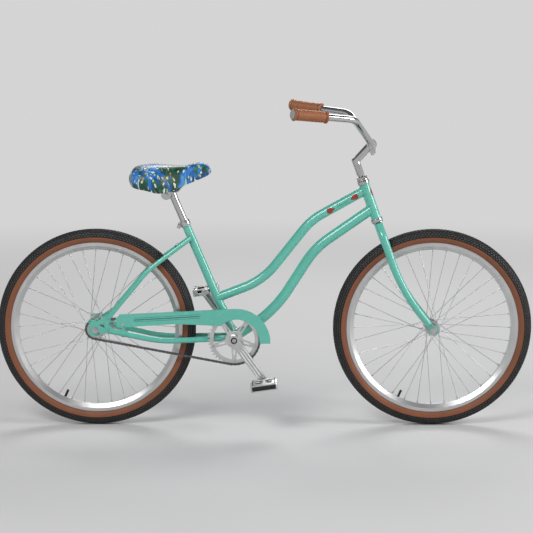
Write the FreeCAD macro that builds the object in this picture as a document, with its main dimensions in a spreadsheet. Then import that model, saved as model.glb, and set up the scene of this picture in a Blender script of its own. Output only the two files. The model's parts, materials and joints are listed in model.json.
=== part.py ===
import FreeCAD, Part
import math
import os

import Sketcher
from FreeCAD import Placement, Rotation, Vector

# Sizes of the bicycle in mm and degrees. +X is forward, +Z up, -Y the chain side,
# and the origin lies on the ground midway between the two axles.
SIZES = {
    "wheelbase": 1119,
    "tyre_diameter": 662,
    "tyre_width": 53,
    "tread_wall": 3,
    "casing_wall": 4.5,
    "bead_width": 24.4,
    "bead_wall": 4,
    "bead_height": 8,
    "rim_diameter": 572,
    "rim_depth": 24,
    "rim_flange": 3,
    "rim_base_width": 13,
    "rim_wall": 2.5,
    "inner_tube_wall": 1.5,
    "valve_diameter": 8,
    "valve_length": 48,
    "spoke_count": 36,
    "spoke_crossings": 3,
    "spoke_diameter": 2,
    "nipple_diameter": 4,
    "nipple_length": 14,
    "flange_thickness": 3,
    "spoke_lift": 1.15,
    "axle_diameter": 9.5,
    "front_hub_width": 100,
    "front_flange_spacing": 70,
    "front_flange_diameter": 46,
    "front_spoke_circle": 40,
    "front_ball_diameter": 4.76,
    "front_ball_circle": 20,
    "front_hub_body": 31,
    "rear_hub_width": 110,
    "rear_flange_spacing": 56,
    "rear_flange_diameter": 66,
    "rear_spoke_circle": 58,
    "rear_ball_diameter": 6.35,
    "rear_ball_circle": 26,
    "rear_hub_body": 42,
    "ball_gap": 0.05,
    "fit_gap": 0.05,
    "weld_gap": 0.1,
    "seat_gap": 0.2,
    "head_angle": 70,
    "fork_rake": 53,
    "fork_length": 393.5,
    "headset_stack": 15,
    "head_tube_length": 121.5,
    "head_tube_diameter": 34,
    "tube_wall": 1.6,
    "cup_diameter": 40,
    "headset_ball_diameter": 3.97,
    "headset_ball_circle": 31,
    "steerer_diameter": 25.4,
    "blade_diameter": 28.6,
    "blade_tip_diameter": 23,
    "blade_crown_height": 345,
    "blade_bend_height": 155,
    "blade_spread": 46,
    "fork_end_thickness": 6,
    "bracket_drop": 33.2,
    "chainring_teeth": 42,
    "sprocket_teeth": 16,
    "chain_pitch": 12.7,
    "chain_links": 102,
    "chain_line": 45.5,
    "roller_diameter": 7.76,
    "tooth_thickness": 3,
    "tooth_height": 3.6,
    "chainring_inner_diameter": 137,
    "seat_angle": 67,
    "seat_tube_length": 424,
    "seat_tube_diameter": 28.6,
    "top_tube_diameter": 31.8,
    "top_tube_height": 144.4,
    "top_tube_drop": 20.2,
    "down_tube_diameter": 34.9,
    "down_tube_rise": 35.4,
    "shell_diameter": 40,
    "shell_width": 68,
    "chain_stay_diameter": 19,
    "seat_stay_diameter": 16,
    "dropout_thickness": 5,
    "eyelet_diameter": 13,
    "eyelet_bore": 5,
    "post_diameter": 25.4,
    "post_neck_diameter": 22.2,
    "post_length": 300,
    "post_rise": 112,
    "collar_height": 18,
    "collar_wall": 3,
    "spindle_diameter": 17,
    "spindle_square": 12.7,
    "bracket_ball_circle": 25.2,
    "crank_length": 170,
    "crank_angle": -54,
    "crank_inner_face": 60,
    "crank_thickness": 13,
    "crank_boss_diameter": 36,
    "crank_eye_diameter": 27,
    "spider_thickness": 4,
    "spider_hub_diameter": 58,
    "spider_arm_width": 15,
    "spider_arms": 5,
    "chainring_bolt_circle": 146,
    "pedal_axle_diameter": 10,
    "pedal_length": 88,
    "pedal_width": 92,
    "pedal_height": 24,
    "pedal_tilt": 8,
    "guard_face": 55,
    "guard_thickness": 1.2,
    "guard_outer_radius": 112,
    "guard_inner_radius": 77,
    "guard_flange": 9,
    "stem_rise": 611,
    "stem_diameter": 25.4,
    "quill_diameter": 22.2,
    "quill_depth": 130,
    "stem_reach": 50.8,
    "stem_climb": 55.9,
    "stem_clamp_width": 40,
    "bar_diameter": 22.2,
    "bar_sleeve_diameter": 25.4,
    "bar_sleeve_width": 60,
    "bar_rise": 91,
    "bar_pullback": 260,
    "bar_half_width": 310,
    "grip_diameter": 36,
    "grip_length": 119,
    "rail_diameter": 7,
    "rail_spacing": 44,
    "clamp_disc_diameter": 34,
    "clamp_offset": 19,
    "saddle_length": 263,
    "saddle_width": 212,
    "saddle_roof": 836,
    "base_thickness": 3,
}

doc = FreeCAD.newDocument("cruiser")
sheet = doc.addObject("Spreadsheet::Sheet", "sheet")
for row, (alias, number) in enumerate(SIZES.items(), 1):
    sheet.set("A%d" % row, str(number))
    sheet.setAlias("A%d" % row, alias)
doc.recompute()

UP = Vector(0, 0, 1)
ACROSS = Vector(0, 1, 0)
FORWARD = Vector(1, 0, 0)
ORIGIN = Vector(0, 0, 0)


class Dim:
    """A size kept both as its number and as its formula in the sheet."""

    def __init__(self, value, text):
        self.value = float(value)
        self.text = text

    def __add__(self, other):
        other = dim(other)
        return Dim(self.value + other.value, "(%s + %s)" % (self.text, other.text))

    def __sub__(self, other):
        other = dim(other)
        return Dim(self.value - other.value, "(%s - %s)" % (self.text, other.text))

    def __mul__(self, other):
        other = dim(other)
        return Dim(self.value * other.value, "(%s * %s)" % (self.text, other.text))

    def __truediv__(self, other):
        other = dim(other)
        return Dim(self.value / other.value, "(%s / %s)" % (self.text, other.text))

    def __neg__(self):
        return Dim(-self.value, "(0 - %s)" % self.text)

    def __radd__(self, other):
        return dim(other) + self

    def __rsub__(self, other):
        return dim(other) - self

    def __rmul__(self, other):
        return dim(other) * self

    def __float__(self):
        return self.value


def dim(number):
    return number if isinstance(number, Dim) else Dim(number, "%.6f" % number)


class Sizes:
    def __getattr__(self, alias):
        return Dim(getattr(sheet, alias), "sheet." + alias)


s = Sizes()
pieces = []


def piece(obj, label):
    obj.Label = label
    pieces.append(obj)
    return obj


def bind(obj, prop, amount):
    obj.setExpression(prop, dim(amount).text)


def along(point, axis):
    return Placement(point, Rotation(UP, axis))


def cylinder(name, radius, height, point, axis):
    obj = doc.addObject("Part::Cylinder", name)
    bind(obj, "Radius", radius)
    bind(obj, "Height", height)
    obj.Placement = along(point, axis)
    return obj


def across(name, radius, start, end, point):
    """A cylinder along Y from start to end, about a point of the mid plane."""
    start, end = dim(start), dim(end)
    base = Vector(point.x, start.value, point.z)
    return cylinder(name, radius, end - start, base, ACROSS)


def block(name, length, width, height, placement):
    """A box centred on its placement."""
    obj = doc.addObject("Part::Box", name)
    length, width, height = dim(length), dim(width), dim(height)
    bind(obj, "Length", length)
    bind(obj, "Width", width)
    bind(obj, "Height", height)
    middle = Vector(-length.value / 2, -width.value / 2, -height.value / 2)
    obj.Placement = placement.multiply(Placement(middle, Rotation()))
    return obj


def fuse(name, *objs):
    obj = doc.addObject("Part::MultiFuse", name)
    obj.Shapes = list(objs)
    obj.Refine = True
    return obj


def cut(name, base, *tools):
    obj = doc.addObject("Part::Cut", name)
    obj.Base = base
    obj.Tool = tools[0] if len(tools) == 1 else fuse(name + "_tools", *tools)
    return obj


def group(name, *objs):
    obj = doc.addObject("Part::Compound", name)
    obj.Links = list(objs)
    return obj


def made(name, shape):
    obj = doc.addObject("Part::Feature", name)
    obj.Shape = shape
    return obj


def pipe(name, outer, inner, height, point, axis):
    body = cylinder(name + "_outside", outer, height, point, axis)
    bore = cylinder(name + "_bore", inner, height, point, axis)
    return cut(name, body, bore)


def hexagon(name, radius, height, point, axis, bore):
    """A nut: a six sided prism with a round bore."""
    prism = doc.addObject("Part::Prism", name + "_hexagon")
    prism.Polygon = 6
    bind(prism, "Circumradius", radius)
    bind(prism, "Height", height)
    prism.Placement = along(point, axis)
    return cut(name, prism, cylinder(name + "_bore", bore, height, point, axis))


def path(points, radii):
    """A wire of straight runs joined by tangent arcs."""
    edges = []
    last = points[0]
    for before, corner, after, radius in zip(points, points[1:], points[2:], radii):
        into = (before - corner).normalize()
        out = (after - corner).normalize()
        turn = math.pi - into.getAngle(out)
        reach = radius * math.tan(turn / 2)
        start = corner + into * reach
        end = corner + out * reach
        inward = (into + out).normalize()
        middle = corner + inward * (radius / math.cos(turn / 2) - radius)
        edges.append(Part.LineSegment(last, start).toShape())
        edges.append(Part.Arc(start, middle, end).toShape())
        last = end
    edges.append(Part.LineSegment(last, points[-1]).toShape())
    return Part.Wire(edges)


def swept(name, points, radii, start_radius, end_radius, sharp=False):
    line = made(name + "_line", path(points, radii) if radii else Part.makePolygon(points))
    first = doc.addObject("Part::Circle", name + "_start")
    bind(first, "Radius", start_radius)
    first.Placement = along(points[0], points[1] - points[0])
    rings = [first]
    if end_radius is not None:
        last = doc.addObject("Part::Circle", name + "_end")
        bind(last, "Radius", end_radius)
        last.Placement = along(points[-1], points[-1] - points[-2])
        rings.append(last)
    obj = doc.addObject("Part::Sweep", name)
    obj.Sections = rings
    obj.Spine = (line, [])
    obj.Solid = True
    obj.Frenet = False
    obj.Transition = "Right corner" if sharp else "Transformed"
    return obj


def bent_tube(name, points, radii, start_diameter, end_diameter, wall):
    tip = None if end_diameter is None else end_diameter / 2
    bore_tip = None if end_diameter is None else end_diameter / 2 - wall
    outside = swept(name + "_outside", points, radii, start_diameter / 2, tip)
    bore = swept(name + "_bore", points, radii, start_diameter / 2 - wall, bore_tip)
    return cut(name, outside, bore)


def plane_of(body, role):
    return [item for item in body.Origin.OriginFeatures if item.Role == role][0]


def sketch(body, name, role, offset=0):
    obj = body.newObject("Sketcher::SketchObject", name)
    obj.AttachmentSupport = [(plane_of(body, role), "")]
    obj.MapMode = "FlatFace"
    obj.AttachmentOffset = Placement(Vector(0, 0, float(offset)), Rotation())
    return obj


def hold(drawing, kind, where, amount):
    """Bind one coordinate of a sketch point to the sheet."""
    number = drawing.addConstraint(Sketcher.Constraint(kind, -1, 1, *where, dim(amount).value))
    drawing.setExpression("Constraints[%d]" % number, dim(amount).text)


def circle(drawing, u, v, radius):
    u, v, radius = dim(u), dim(v), dim(radius)
    ring = Part.Circle(Vector(u.value, v.value, 0), UP, radius.value)
    index = drawing.addGeometry(ring, False)
    number = drawing.addConstraint(Sketcher.Constraint("Radius", index, radius.value))
    drawing.setExpression("Constraints[%d]" % number, radius.text)
    hold(drawing, "DistanceX", (index, 3), u)
    hold(drawing, "DistanceY", (index, 3), v)


def outline(drawing, corners, arcs=None):
    """A closed outline. arcs maps an edge's number to its arc's centre, radius and direction."""
    arcs = arcs or {}
    spots = [(dim(u), dim(v)) for u, v in corners]
    flat = [Vector(u.value, v.value, 0) for u, v in spots]
    count = len(spots)
    first = drawing.GeometryCount
    ends = []
    for edge in range(count):
        start, end = flat[edge], flat[(edge + 1) % count]
        if edge not in arcs:
            drawing.addGeometry(Part.LineSegment(start, end), False)
            ends.append((1, 2))
            continue
        u, v, radius = [dim(item) for item in arcs[edge][:3]]
        centre = Vector(u.value, v.value, 0)
        begin = math.atan2(start.y - centre.y, start.x - centre.x)
        finish = math.atan2(end.y - centre.y, end.x - centre.x)
        forward = arcs[edge][3]
        if not forward:
            begin, finish = finish, begin
        ring = Part.Circle(centre, UP, radius.value)
        drawing.addGeometry(Part.ArcOfCircle(ring, begin, finish), False)
        ends.append((1, 2) if forward else (2, 1))
    for edge in range(count):
        after = (edge + 1) % count
        joint = (first + edge, ends[edge][1], first + after, ends[after][0])
        drawing.addConstraint(Sketcher.Constraint("Coincident", *joint))
    for edge, (u, v, radius, forward) in arcs.items():
        number = drawing.addConstraint(Sketcher.Constraint("Radius", first + edge, dim(radius).value))
        drawing.setExpression("Constraints[%d]" % number, dim(radius).text)
        hold(drawing, "DistanceX", (first + edge, 3), u)
        hold(drawing, "DistanceY", (first + edge, 3), v)
    for edge, (u, v) in enumerate(spots):
        where = (first + edge, ends[edge][0])
        touching = [arcs[number] for number in ((edge - 1) % count, edge) if number in arcs]
        if not touching:
            hold(drawing, "DistanceX", where, u)
            hold(drawing, "DistanceY", where, v)
            continue
        away = flat[edge] - Vector(float(touching[0][0]), float(touching[0][1]), 0)
        if abs(away.x) > abs(away.y):
            hold(drawing, "DistanceY", where, v)
        else:
            hold(drawing, "DistanceX", where, u)


def new_body(name, placement=None):
    body = doc.addObject("PartDesign::Body", name)
    body.Placement = placement or Placement()
    return body


def pad(body, drawing, length, middle=False, back=False):
    obj = body.newObject("PartDesign::Pad", drawing.Name + "_pad")
    obj.Profile = drawing
    bind(obj, "Length", length)
    obj.Midplane = middle
    obj.Reversed = back
    body.Tip = obj
    return obj


def pocket(body, drawing, back=False, middle=False):
    obj = body.newObject("PartDesign::Pocket", drawing.Name + "_pocket")
    obj.Profile = drawing
    obj.Type = 1
    obj.Midplane = middle
    obj.Reversed = back
    body.Tip = obj
    return obj


def around(body, originals, count, role="Y_Axis"):
    obj = body.newObject("PartDesign::PolarPattern", body.Name + "_round")
    obj.Originals = originals
    obj.Axis = (plane_of(body, role), [""])
    obj.Angle = 360
    bind(obj, "Occurrences", count)
    body.Tip = obj
    return obj


def turned(name, corners, arcs=None, point=ORIGIN):
    """A ring turned about an axis along Y; corners are (radius, y) pairs."""
    body = new_body(name, Placement(point, Rotation()))
    drawing = sketch(body, name + "_section", "XY_Plane")
    outline(drawing, corners, arcs)
    obj = body.newObject("PartDesign::Revolution", name + "_turn")
    obj.Profile = drawing
    obj.ReferenceAxis = (drawing, ["V_Axis"])
    obj.Angle = 360
    body.Tip = obj
    return body


def spun(angle):
    """A turn in the side view from +X towards +Z."""
    return Rotation(Vector(0, -1, 0), angle)


# Main points of the bicycle in the side view.
wheel_radius = s.tyre_diameter / 2
rear_axle = Vector(-float(s.wheelbase) / 2, 0, float(wheel_radius))
front_axle = Vector(float(s.wheelbase) / 2, 0, float(wheel_radius))

ring_radius = s.chainring_teeth * s.chain_pitch / (2 * math.pi)
cog_radius = s.sprocket_teeth * s.chain_pitch / (2 * math.pi)


def loop_length(spacing):
    lean = math.asin((float(ring_radius) - float(cog_radius)) / spacing)
    straight = spacing * math.cos(lean)
    wraps = float(ring_radius) * (math.pi + 2 * lean) + float(cog_radius) * (math.pi - 2 * lean)
    return 2 * straight + wraps


# The chain's number of links sets how far the rear axle sits from the cranks.
chain_length = float(s.chain_links * s.chain_pitch)
spacing = chain_length / 3
for step in range(40):
    spacing += (chain_length - loop_length(spacing)) / 2
drop = float(s.bracket_drop)
bracket = rear_axle + Vector(math.sqrt(spacing ** 2 - drop ** 2), 0, -drop)

seat_lean = math.radians(float(s.seat_angle))
seat_up = Vector(-math.cos(seat_lean), 0, math.sin(seat_lean))
head_lean = math.radians(float(s.head_angle))
steer_up = Vector(-math.cos(head_lean), 0, math.sin(head_lean))
steer_front = Vector(math.sin(head_lean), 0, math.cos(head_lean))
steer_foot = front_axle - steer_front * float(s.fork_rake)


def seat_line(distance):
    return bracket + seat_up * float(distance)


def steer_line(distance):
    return steer_foot + steer_up * float(distance)


def from_rear(x, y, z):
    return rear_axle + Vector(x, y, z)


def from_bracket(x, y, z):
    return bracket + Vector(x, y, z)


head_bottom = s.fork_length + s.headset_stack
head_top = head_bottom + s.head_tube_length

# Envelopes that the welded tubes are mitred to.
shell_outside = across("shell_envelope", s.shell_diameter / 2 + s.weld_gap,
                       -s.shell_width / 2, s.shell_width / 2, bracket)
seat_outside = cylinder("seat_envelope", s.seat_tube_diameter / 2 + s.weld_gap,
                        s.seat_tube_length, bracket, seat_up)
head_outside = cylinder("head_envelope", s.head_tube_diameter / 2 + s.weld_gap,
                        s.head_tube_length, steer_line(head_bottom), steer_up)

piece(pipe("head_tube", s.head_tube_diameter / 2, s.head_tube_diameter / 2 - s.tube_wall,
           s.head_tube_length, steer_line(head_bottom), steer_up), "head_tube")

piece(pipe("bottom_bracket_shell_pipe", s.shell_diameter / 2, s.shell_diameter / 2 - 3,
           s.shell_width, bracket - ACROSS * float(s.shell_width / 2), ACROSS),
      "bottom_bracket_shell")

seat_bore = s.post_diameter / 2 + s.fit_gap
piece(cut("seat_tube_mitred",
          pipe("seat_tube_pipe", s.seat_tube_diameter / 2, seat_bore,
               s.seat_tube_length, bracket, seat_up), shell_outside), "seat_tube")

# The top tube leaves the seat tube low and climbs to the head tube in two bends.
top_points = [seat_line(s.top_tube_height), from_bracket(95, 0, 191.4),
              from_bracket(254.6, 0, 392.9), steer_line(head_top - s.top_tube_drop)]
piece(cut("top_tube_mitred",
          bent_tube("top_tube_pipe", top_points, [240, 220], s.top_tube_diameter, None, s.tube_wall),
          seat_outside, head_outside), "top_tube")

down_points = [bracket, from_bracket(134.2, 0, 89.6), from_bracket(268.1, 0, 299.8),
               steer_line(head_bottom + s.down_tube_rise)]
piece(cut("down_tube_mitred",
          bent_tube("down_tube_pipe", down_points, [400, 285], s.down_tube_diameter, None, s.tube_wall),
          seat_outside, head_outside, shell_outside), "down_tube")

# Rear dropouts: a hooked plate with a forward slot, a window and two eyelets.
drop_in = s.rear_hub_width / 2
drop_mid = float(drop_in + s.dropout_thickness / 2)


def dropout(name, side):
    face = drop_in if side > 0 else -drop_in - s.dropout_thickness
    body = new_body(name + "_plate", Placement(rear_axle + ACROSS * float(face), Rotation()))
    drawing = sketch(body, name + "_outline", "XZ_Plane")
    outline(drawing, [(-16, 14), (-20, 26), (-14, 33), (2, 36), (12, 33), (38, 52), (54, 40), (44, 18),
                      (58, 6), (56, -10), (34, -12), (16, -14), (0, -8)])
    pad(body, drawing, s.dropout_thickness, back=True)
    window = sketch(body, name + "_window", "XZ_Plane")
    outline(window, [(12, 17), (28, 22), (32, 6)])
    pocket(body, window, middle=True)
    start, end = face, face + s.dropout_thickness
    hook = across(name + "_hook", 22, start, end, rear_axle)
    spots = [from_rear(-16.8, 0, 29), from_rear(6.3, 0, 33)]
    rings = [across(name + "_eyelet", s.eyelet_diameter / 2, start, end, spot) for spot in spots]
    bores = [across(name + "_eyelet_bore", s.eyelet_bore / 2, start, end, spot) for spot in spots]
    seat = across(name + "_axle_seat", s.axle_diameter / 2 + s.seat_gap, start, end, rear_axle)
    slope = spun(-38)
    middle = slope.multVec(Vector(20, 0, 0)) + rear_axle + ACROSS * float((start + end) / 2)
    slot = block(name + "_slot", 40, s.dropout_thickness, s.axle_diameter + 2 * s.seat_gap,
                 Placement(middle, slope))
    plate = fuse(name + "_solid", body, hook, *rings)
    return cut(name, plate, slot, seat, *bores)


dropouts = {side: dropout("dropout_" + word, side) for side, word in ((-1, "right"), (1, "left"))}
piece(group("dropouts", dropouts[-1], dropouts[1]), "rear_dropouts")

# Chain stays and seat stays, each pair with its bridge.
stay_bend = {side: from_rear(215, 49 * side, -40) for side in (-1, 1)}
stay_end = {side: from_rear(48, drop_mid * side, -3) for side in (-1, 1)}
stay_front = {side: bracket + Vector(-4, 23 * side, 0) for side in (-1, 1)}
chain_stay_solids = []
seat_stay_solids = []
for side, word in ((-1, "right"), (1, "left")):
    tube = bent_tube("chain_stay_pipe_" + word, [stay_end[side], stay_bend[side], stay_front[side]],
                     [440], s.chain_stay_diameter, None, s.tube_wall)
    chain_stay_solids.append(cut("chain_stay_" + word, tube, shell_outside, dropouts[side]))
    stay_points = [from_rear(44, (drop_mid + 1.5) * side, 41), from_rear(175, 44 * side, 198),
                   seat_line(364) + ACROSS * 16 * side]
    tube = bent_tube("seat_stay_pipe_" + word, stay_points, [300], s.seat_stay_diameter, None, s.tube_wall)
    seat_stay_solids.append(cut("seat_stay_" + word, tube, seat_outside, dropouts[side]))


def bridge(name, point, reach, stays):
    bar = pipe(name + "_pipe", 7, 5.5, 2 * reach, point - ACROSS * float(reach), ACROSS)
    tools = [swept(name + "_stay", ends, [radius], width / 2 + s.weld_gap, None)
             for ends, radius, width in stays]
    return cut(name, bar, *tools)


chain_bridge = bridge("chain_stay_bridge", from_rear(374, 0, -34), 30,
                      [([stay_end[side], stay_bend[side], stay_front[side]], 440, s.chain_stay_diameter)
                       for side in (-1, 1)])
piece(group("chain_stays", *chain_stay_solids, chain_bridge), "chain_stays")

seat_paths = [([from_rear(44, (drop_mid + 1.5) * side, 41), from_rear(175, 44 * side, 198),
                seat_line(364) + ACROSS * 16 * side], 300, s.seat_stay_diameter) for side in (-1, 1)]
seat_bridge = bridge("seat_stay_bridge", from_rear(268, 0, 273), 26, seat_paths)
piece(group("seat_stays", *seat_stay_solids, seat_bridge), "seat_stays")

# Headset: two pressed cups, two rings of balls, and the races on the steerer.
ball = s.headset_ball_diameter / 2
cup_bore = s.headset_ball_circle / 2 + ball + s.ball_gap
race_outside = s.headset_ball_circle / 2 - ball - s.ball_gap
skirt = s.head_tube_diameter / 2 - s.tube_wall - s.fit_gap
steer_hole = s.steerer_diameter / 2 + 1


def cup(name, end, outward):
    axis = steer_up * outward
    lip = cylinder(name + "_lip", s.cup_diameter / 2, 11.3, steer_line(end), axis)
    press = cylinder(name + "_press", skirt, 10, steer_line(end) - axis * 10, axis)
    hole = cylinder(name + "_hole", steer_hole, 40, steer_line(end) - axis * 15, axis)
    seat = cylinder(name + "_seat", cup_bore, 10, steer_line(end) + axis * 4.5, axis)
    return cut(name, fuse(name + "_solid", lip, press), hole, seat)


piece(group("cups", cup("upper_cup", head_top, 1), cup("lower_cup", head_bottom, -1)), "headset_cups")

crown = cut("crown_race", fuse("crown_race_solid",
                               cylinder("crown_race_foot", 18.5, 3,
                                        steer_line(s.fork_length + 0.2), steer_up),
                               cylinder("crown_race_neck", race_outside, 9.2,
                                        steer_line(s.fork_length + 0.2), steer_up)),
            cylinder("crown_race_bore", s.steerer_diameter / 2 + s.fit_gap, 12,
                     steer_line(s.fork_length), steer_up))
top_race = cut("screwed_race", fuse("screwed_race_solid",
                                    cylinder("screwed_race_neck", race_outside, 12,
                                             steer_line(head_top + 5.5), steer_up),
                                    cylinder("screwed_race_head", 19, 5,
                                             steer_line(head_top + 12.5), steer_up)),
               cylinder("screwed_race_bore", s.steerer_diameter / 2 + s.fit_gap, 20,
                        steer_line(head_top), steer_up))
locknut = hexagon("locknut", 18, 8, steer_line(head_top + 17.7), steer_up,
                  s.steerer_diameter / 2 + s.fit_gap)
piece(group("races", crown, top_race, locknut), "headset_races_and_locknut")

steerer_foot = s.fork_length - 20
piece(pipe("fork_steerer_pipe", s.steerer_diameter / 2, s.quill_diameter / 2 + s.fit_gap,
           head_top + 24 - steerer_foot, steer_line(steerer_foot), steer_up), "fork_steerer")


def ball_ring(count, diameter, radius, centre, axis):
    turn = Rotation(UP, axis)
    spots = [turn.multVec(Vector(float(radius) * math.cos(angle), float(radius) * math.sin(angle), 0))
             for angle in (2 * math.pi * number / count for number in range(count))]
    return [Part.makeSphere(float(diameter) / 2, centre + spot) for spot in spots]


bracket_ball = s.rear_ball_diameter
frame_balls = []
for height in (head_top + 7.5, head_bottom - 7.5):
    frame_balls += ball_ring(20, s.headset_ball_diameter, s.headset_ball_circle / 2,
                             steer_line(height), steer_up)
for side in (-1, 1):
    frame_balls += ball_ring(9, bracket_ball, s.bracket_ball_circle / 2,
                             bracket + ACROSS * 28 * side, ACROSS)
piece(made("frame_balls", Part.makeCompound(frame_balls)), "frame_bearing_balls")

# Fork blades leave the steerer, pass the tyre and rake forward to the axle.
steerer_outside = cylinder("steerer_envelope", s.steerer_diameter / 2 + s.weld_gap, 60,
                           steer_line(s.fork_length - 60), steer_up)
above_crown = cylinder("above_crown", 60, 40, steer_line(s.fork_length), steer_up)
fork_inner = s.front_hub_width / 2
fork_middle = float(fork_inner + s.fork_end_thickness / 2)
blade_bend = steer_line(s.blade_bend_height)
to_axle = (front_axle - blade_bend).normalize()


def fork_end(name, side):
    start = fork_inner if side > 0 else -fork_inner - s.fork_end_thickness
    eye = across(name + "_eye", 16, start, start + s.fork_end_thickness, front_axle)
    lean = math.degrees(math.atan2(-to_axle.z, -to_axle.x))
    turn = spun(lean)
    middle = front_axle - to_axle * 22 + ACROSS * float(start + s.fork_end_thickness / 2)
    tongue = block(name + "_tongue", 44, s.fork_end_thickness, 19, Placement(middle, turn))
    seat = across(name + "_seat", s.axle_diameter / 2 + s.seat_gap, start,
                  start + s.fork_end_thickness, front_axle)
    low = front_axle + Vector(0, float(start + s.fork_end_thickness / 2), -10)
    slot = block(name + "_slot", s.axle_diameter + 2 * s.seat_gap, s.fork_end_thickness, 20,
                 Placement(low, Rotation()))
    return cut(name, fuse(name + "_solid", eye, tongue), seat, slot)


fork_ends = {side: fork_end("fork_end_" + word, side) for side, word in ((-1, "right"), (1, "left"))}
piece(group("fork_end_pair", fork_ends[-1], fork_ends[1]), "fork_ends")

blades = []
for side, word in ((-1, "right"), (1, "left")):
    blade_points = [steer_line(s.fork_length) + ACROSS * 11 * side,
                    steer_line(s.blade_crown_height) + ACROSS * float(s.blade_spread) * side,
                    blade_bend + ACROSS * 50 * side,
                    front_axle - to_axle * 24 + ACROSS * fork_middle * side]
    tube = bent_tube("blade_pipe_" + word, blade_points, [55, 580], s.blade_diameter,
                     s.blade_tip_diameter, s.tube_wall)
    across_middle = block("middle_trim_" + word, 200, 60, 200,
                          Placement(steer_line(s.fork_length) - ACROSS * 29.8 * side, Rotation()))
    blades.append(cut("blade_" + word, tube, steerer_outside, above_crown, across_middle, fork_ends[side]))
piece(group("blade_pair", *blades), "fork_blades")

# Bottom bracket: two cups screwed into the shell, and the spindle that turns on their balls.
bracket_reach = s.bracket_ball_circle / 2
bracket_bore = bracket_reach + bracket_ball / 2 + s.ball_gap
bracket_race = bracket_reach - bracket_ball / 2 - s.ball_gap
shell_half = s.shell_width / 2


def bracket_cup(name, side):
    start = bracket + ACROSS * side * float(shell_half)
    inward = ACROSS * -side
    thread = cylinder(name + "_thread", s.shell_diameter / 2 - 3 - s.fit_gap, 14, start, inward)
    flange = cylinder(name + "_flange", 18.5, 2.5, start, ACROSS * side)
    seat = cylinder(name + "_seat", bracket_bore, 12, start + inward * 2, inward)
    hole = cylinder(name + "_hole", s.spindle_diameter / 2 + 0.5, 30, start + ACROSS * side * 5, inward)
    return cut(name, fuse(name + "_solid", thread, flange), seat, hole)


piece(group("bracket_cups", bracket_cup("right_cup", -1), bracket_cup("left_cup", 1)),
      "bottom_bracket_cups")

square_start = shell_half + 4
square_end = s.crank_inner_face + 4
crank_turn = spun(float(s.crank_angle))
square = block("spindle_square", s.spindle_square, 2 * square_end, s.spindle_square,
               Placement(bracket, crank_turn))
spindle = fuse("spindle_solid",
               across("spindle_round", s.spindle_diameter / 2, -square_start, square_start, bracket),
               across("spindle_race_right", bracket_race, -shell_half + 2, -shell_half + 12, bracket),
               across("spindle_race_left", bracket_race, shell_half - 12, shell_half - 2, bracket),
               cut("spindle_ends", square, across("spindle_middle", 15, -square_start, square_start, bracket)))
piece(cut("spindle", spindle,
          across("spindle_thread_right", 4 + s.fit_gap, -square_end, -square_end + 18, bracket),
          across("spindle_thread_left", 4 + s.fit_gap, square_end - 18, square_end, bracket)),
      "crank_spindle")

# Crank arms; the right one carries the five arms that hold the chainring.
crank_outer = s.crank_inner_face + s.crank_thickness
boss_start = shell_half + 6
thread_radius = s.pedal_axle_diameter / 2 + 2


def crank(name, side, turn, spider):
    body = new_body(name + "_arm", Placement(bracket + ACROSS * side * float(s.crank_inner_face), turn))
    drawing = sketch(body, name + "_arm_outline", "XZ_Plane")
    outline(drawing, [(0, -15.5), (s.crank_length, -12), (s.crank_length, 12), (0, 15.5)])
    pad(body, drawing, s.crank_thickness, back=side > 0)
    tip = bracket + turn.multVec(Vector(float(s.crank_length), 0, 0))
    low = min(side * float(boss_start), side * float(crank_outer))
    boss = across(name + "_boss", s.crank_boss_diameter / 2, low, low + crank_outer - boss_start, bracket)
    low = min(side * float(s.crank_inner_face), side * float(crank_outer))
    eye = across(name + "_eye", s.crank_eye_diameter / 2, low, low + s.crank_thickness, tip)
    solid = fuse(name + "_solid", body, boss, eye, *spider)
    taper = block(name + "_taper", s.spindle_square, 2 * square_end, s.spindle_square,
                  Placement(bracket, turn))
    low = min(side * float(square_end), side * float(crank_outer + 5))
    recess = across(name + "_recess", 11, low, low + crank_outer + 5 - square_end, bracket)
    hole = across(name + "_pedal_hole", thread_radius + s.fit_gap, -100, 100, tip)
    grooves = []
    for offset in (-4.5, 4.5):
        halfway = turn.multVec(Vector(float(s.crank_length) / 2, 0, offset))
        middle = bracket + halfway + ACROSS * side * float(crank_outer)
        grooves.append(block(name + "_groove", s.crank_length * 0.62, 2.4, 2.4, Placement(middle, turn)))
    return cut(name, solid, taper, recess, hole, *grooves)


ring_outer = s.chain_line + s.tooth_thickness / 2
spider_turn = spun(float(s.crank_angle) + 180 / float(s.spider_arms))
spider = new_body("spider", Placement(bracket - ACROSS * float(ring_outer), spider_turn))
hub_sketch = sketch(spider, "spider_hub", "XZ_Plane")
circle(hub_sketch, 0, 0, s.spider_hub_diameter / 2)
pad(spider, hub_sketch, s.spider_thickness)
bolt_reach = s.chainring_bolt_circle / 2
arm_sketch = sketch(spider, "spider_arm", "XZ_Plane")
arm_half = s.spider_arm_width / 2
outline(arm_sketch, [(15, -arm_half - 2), (bolt_reach - 6, -arm_half), (bolt_reach + 5, 3 - arm_half),
                     (bolt_reach + 5, arm_half - 3), (bolt_reach - 6, arm_half), (15, arm_half + 2)])
arm_pad = pad(spider, arm_sketch, s.spider_thickness)
slot_sketch = sketch(spider, "spider_slot", "XZ_Plane")
outline(slot_sketch, [(33, -3.2), (54, -2.4), (54, 2.4), (33, 3.2)])
slot_pocket = pocket(spider, slot_sketch, middle=True)
bolt_sketch = sketch(spider, "spider_bolt", "XZ_Plane")
circle(bolt_sketch, bolt_reach, 0, 3 + s.fit_gap)
bolt_pocket = pocket(spider, bolt_sketch, middle=True)
around(spider, [arm_pad, slot_pocket, bolt_pocket], s.spider_arms)

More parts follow.
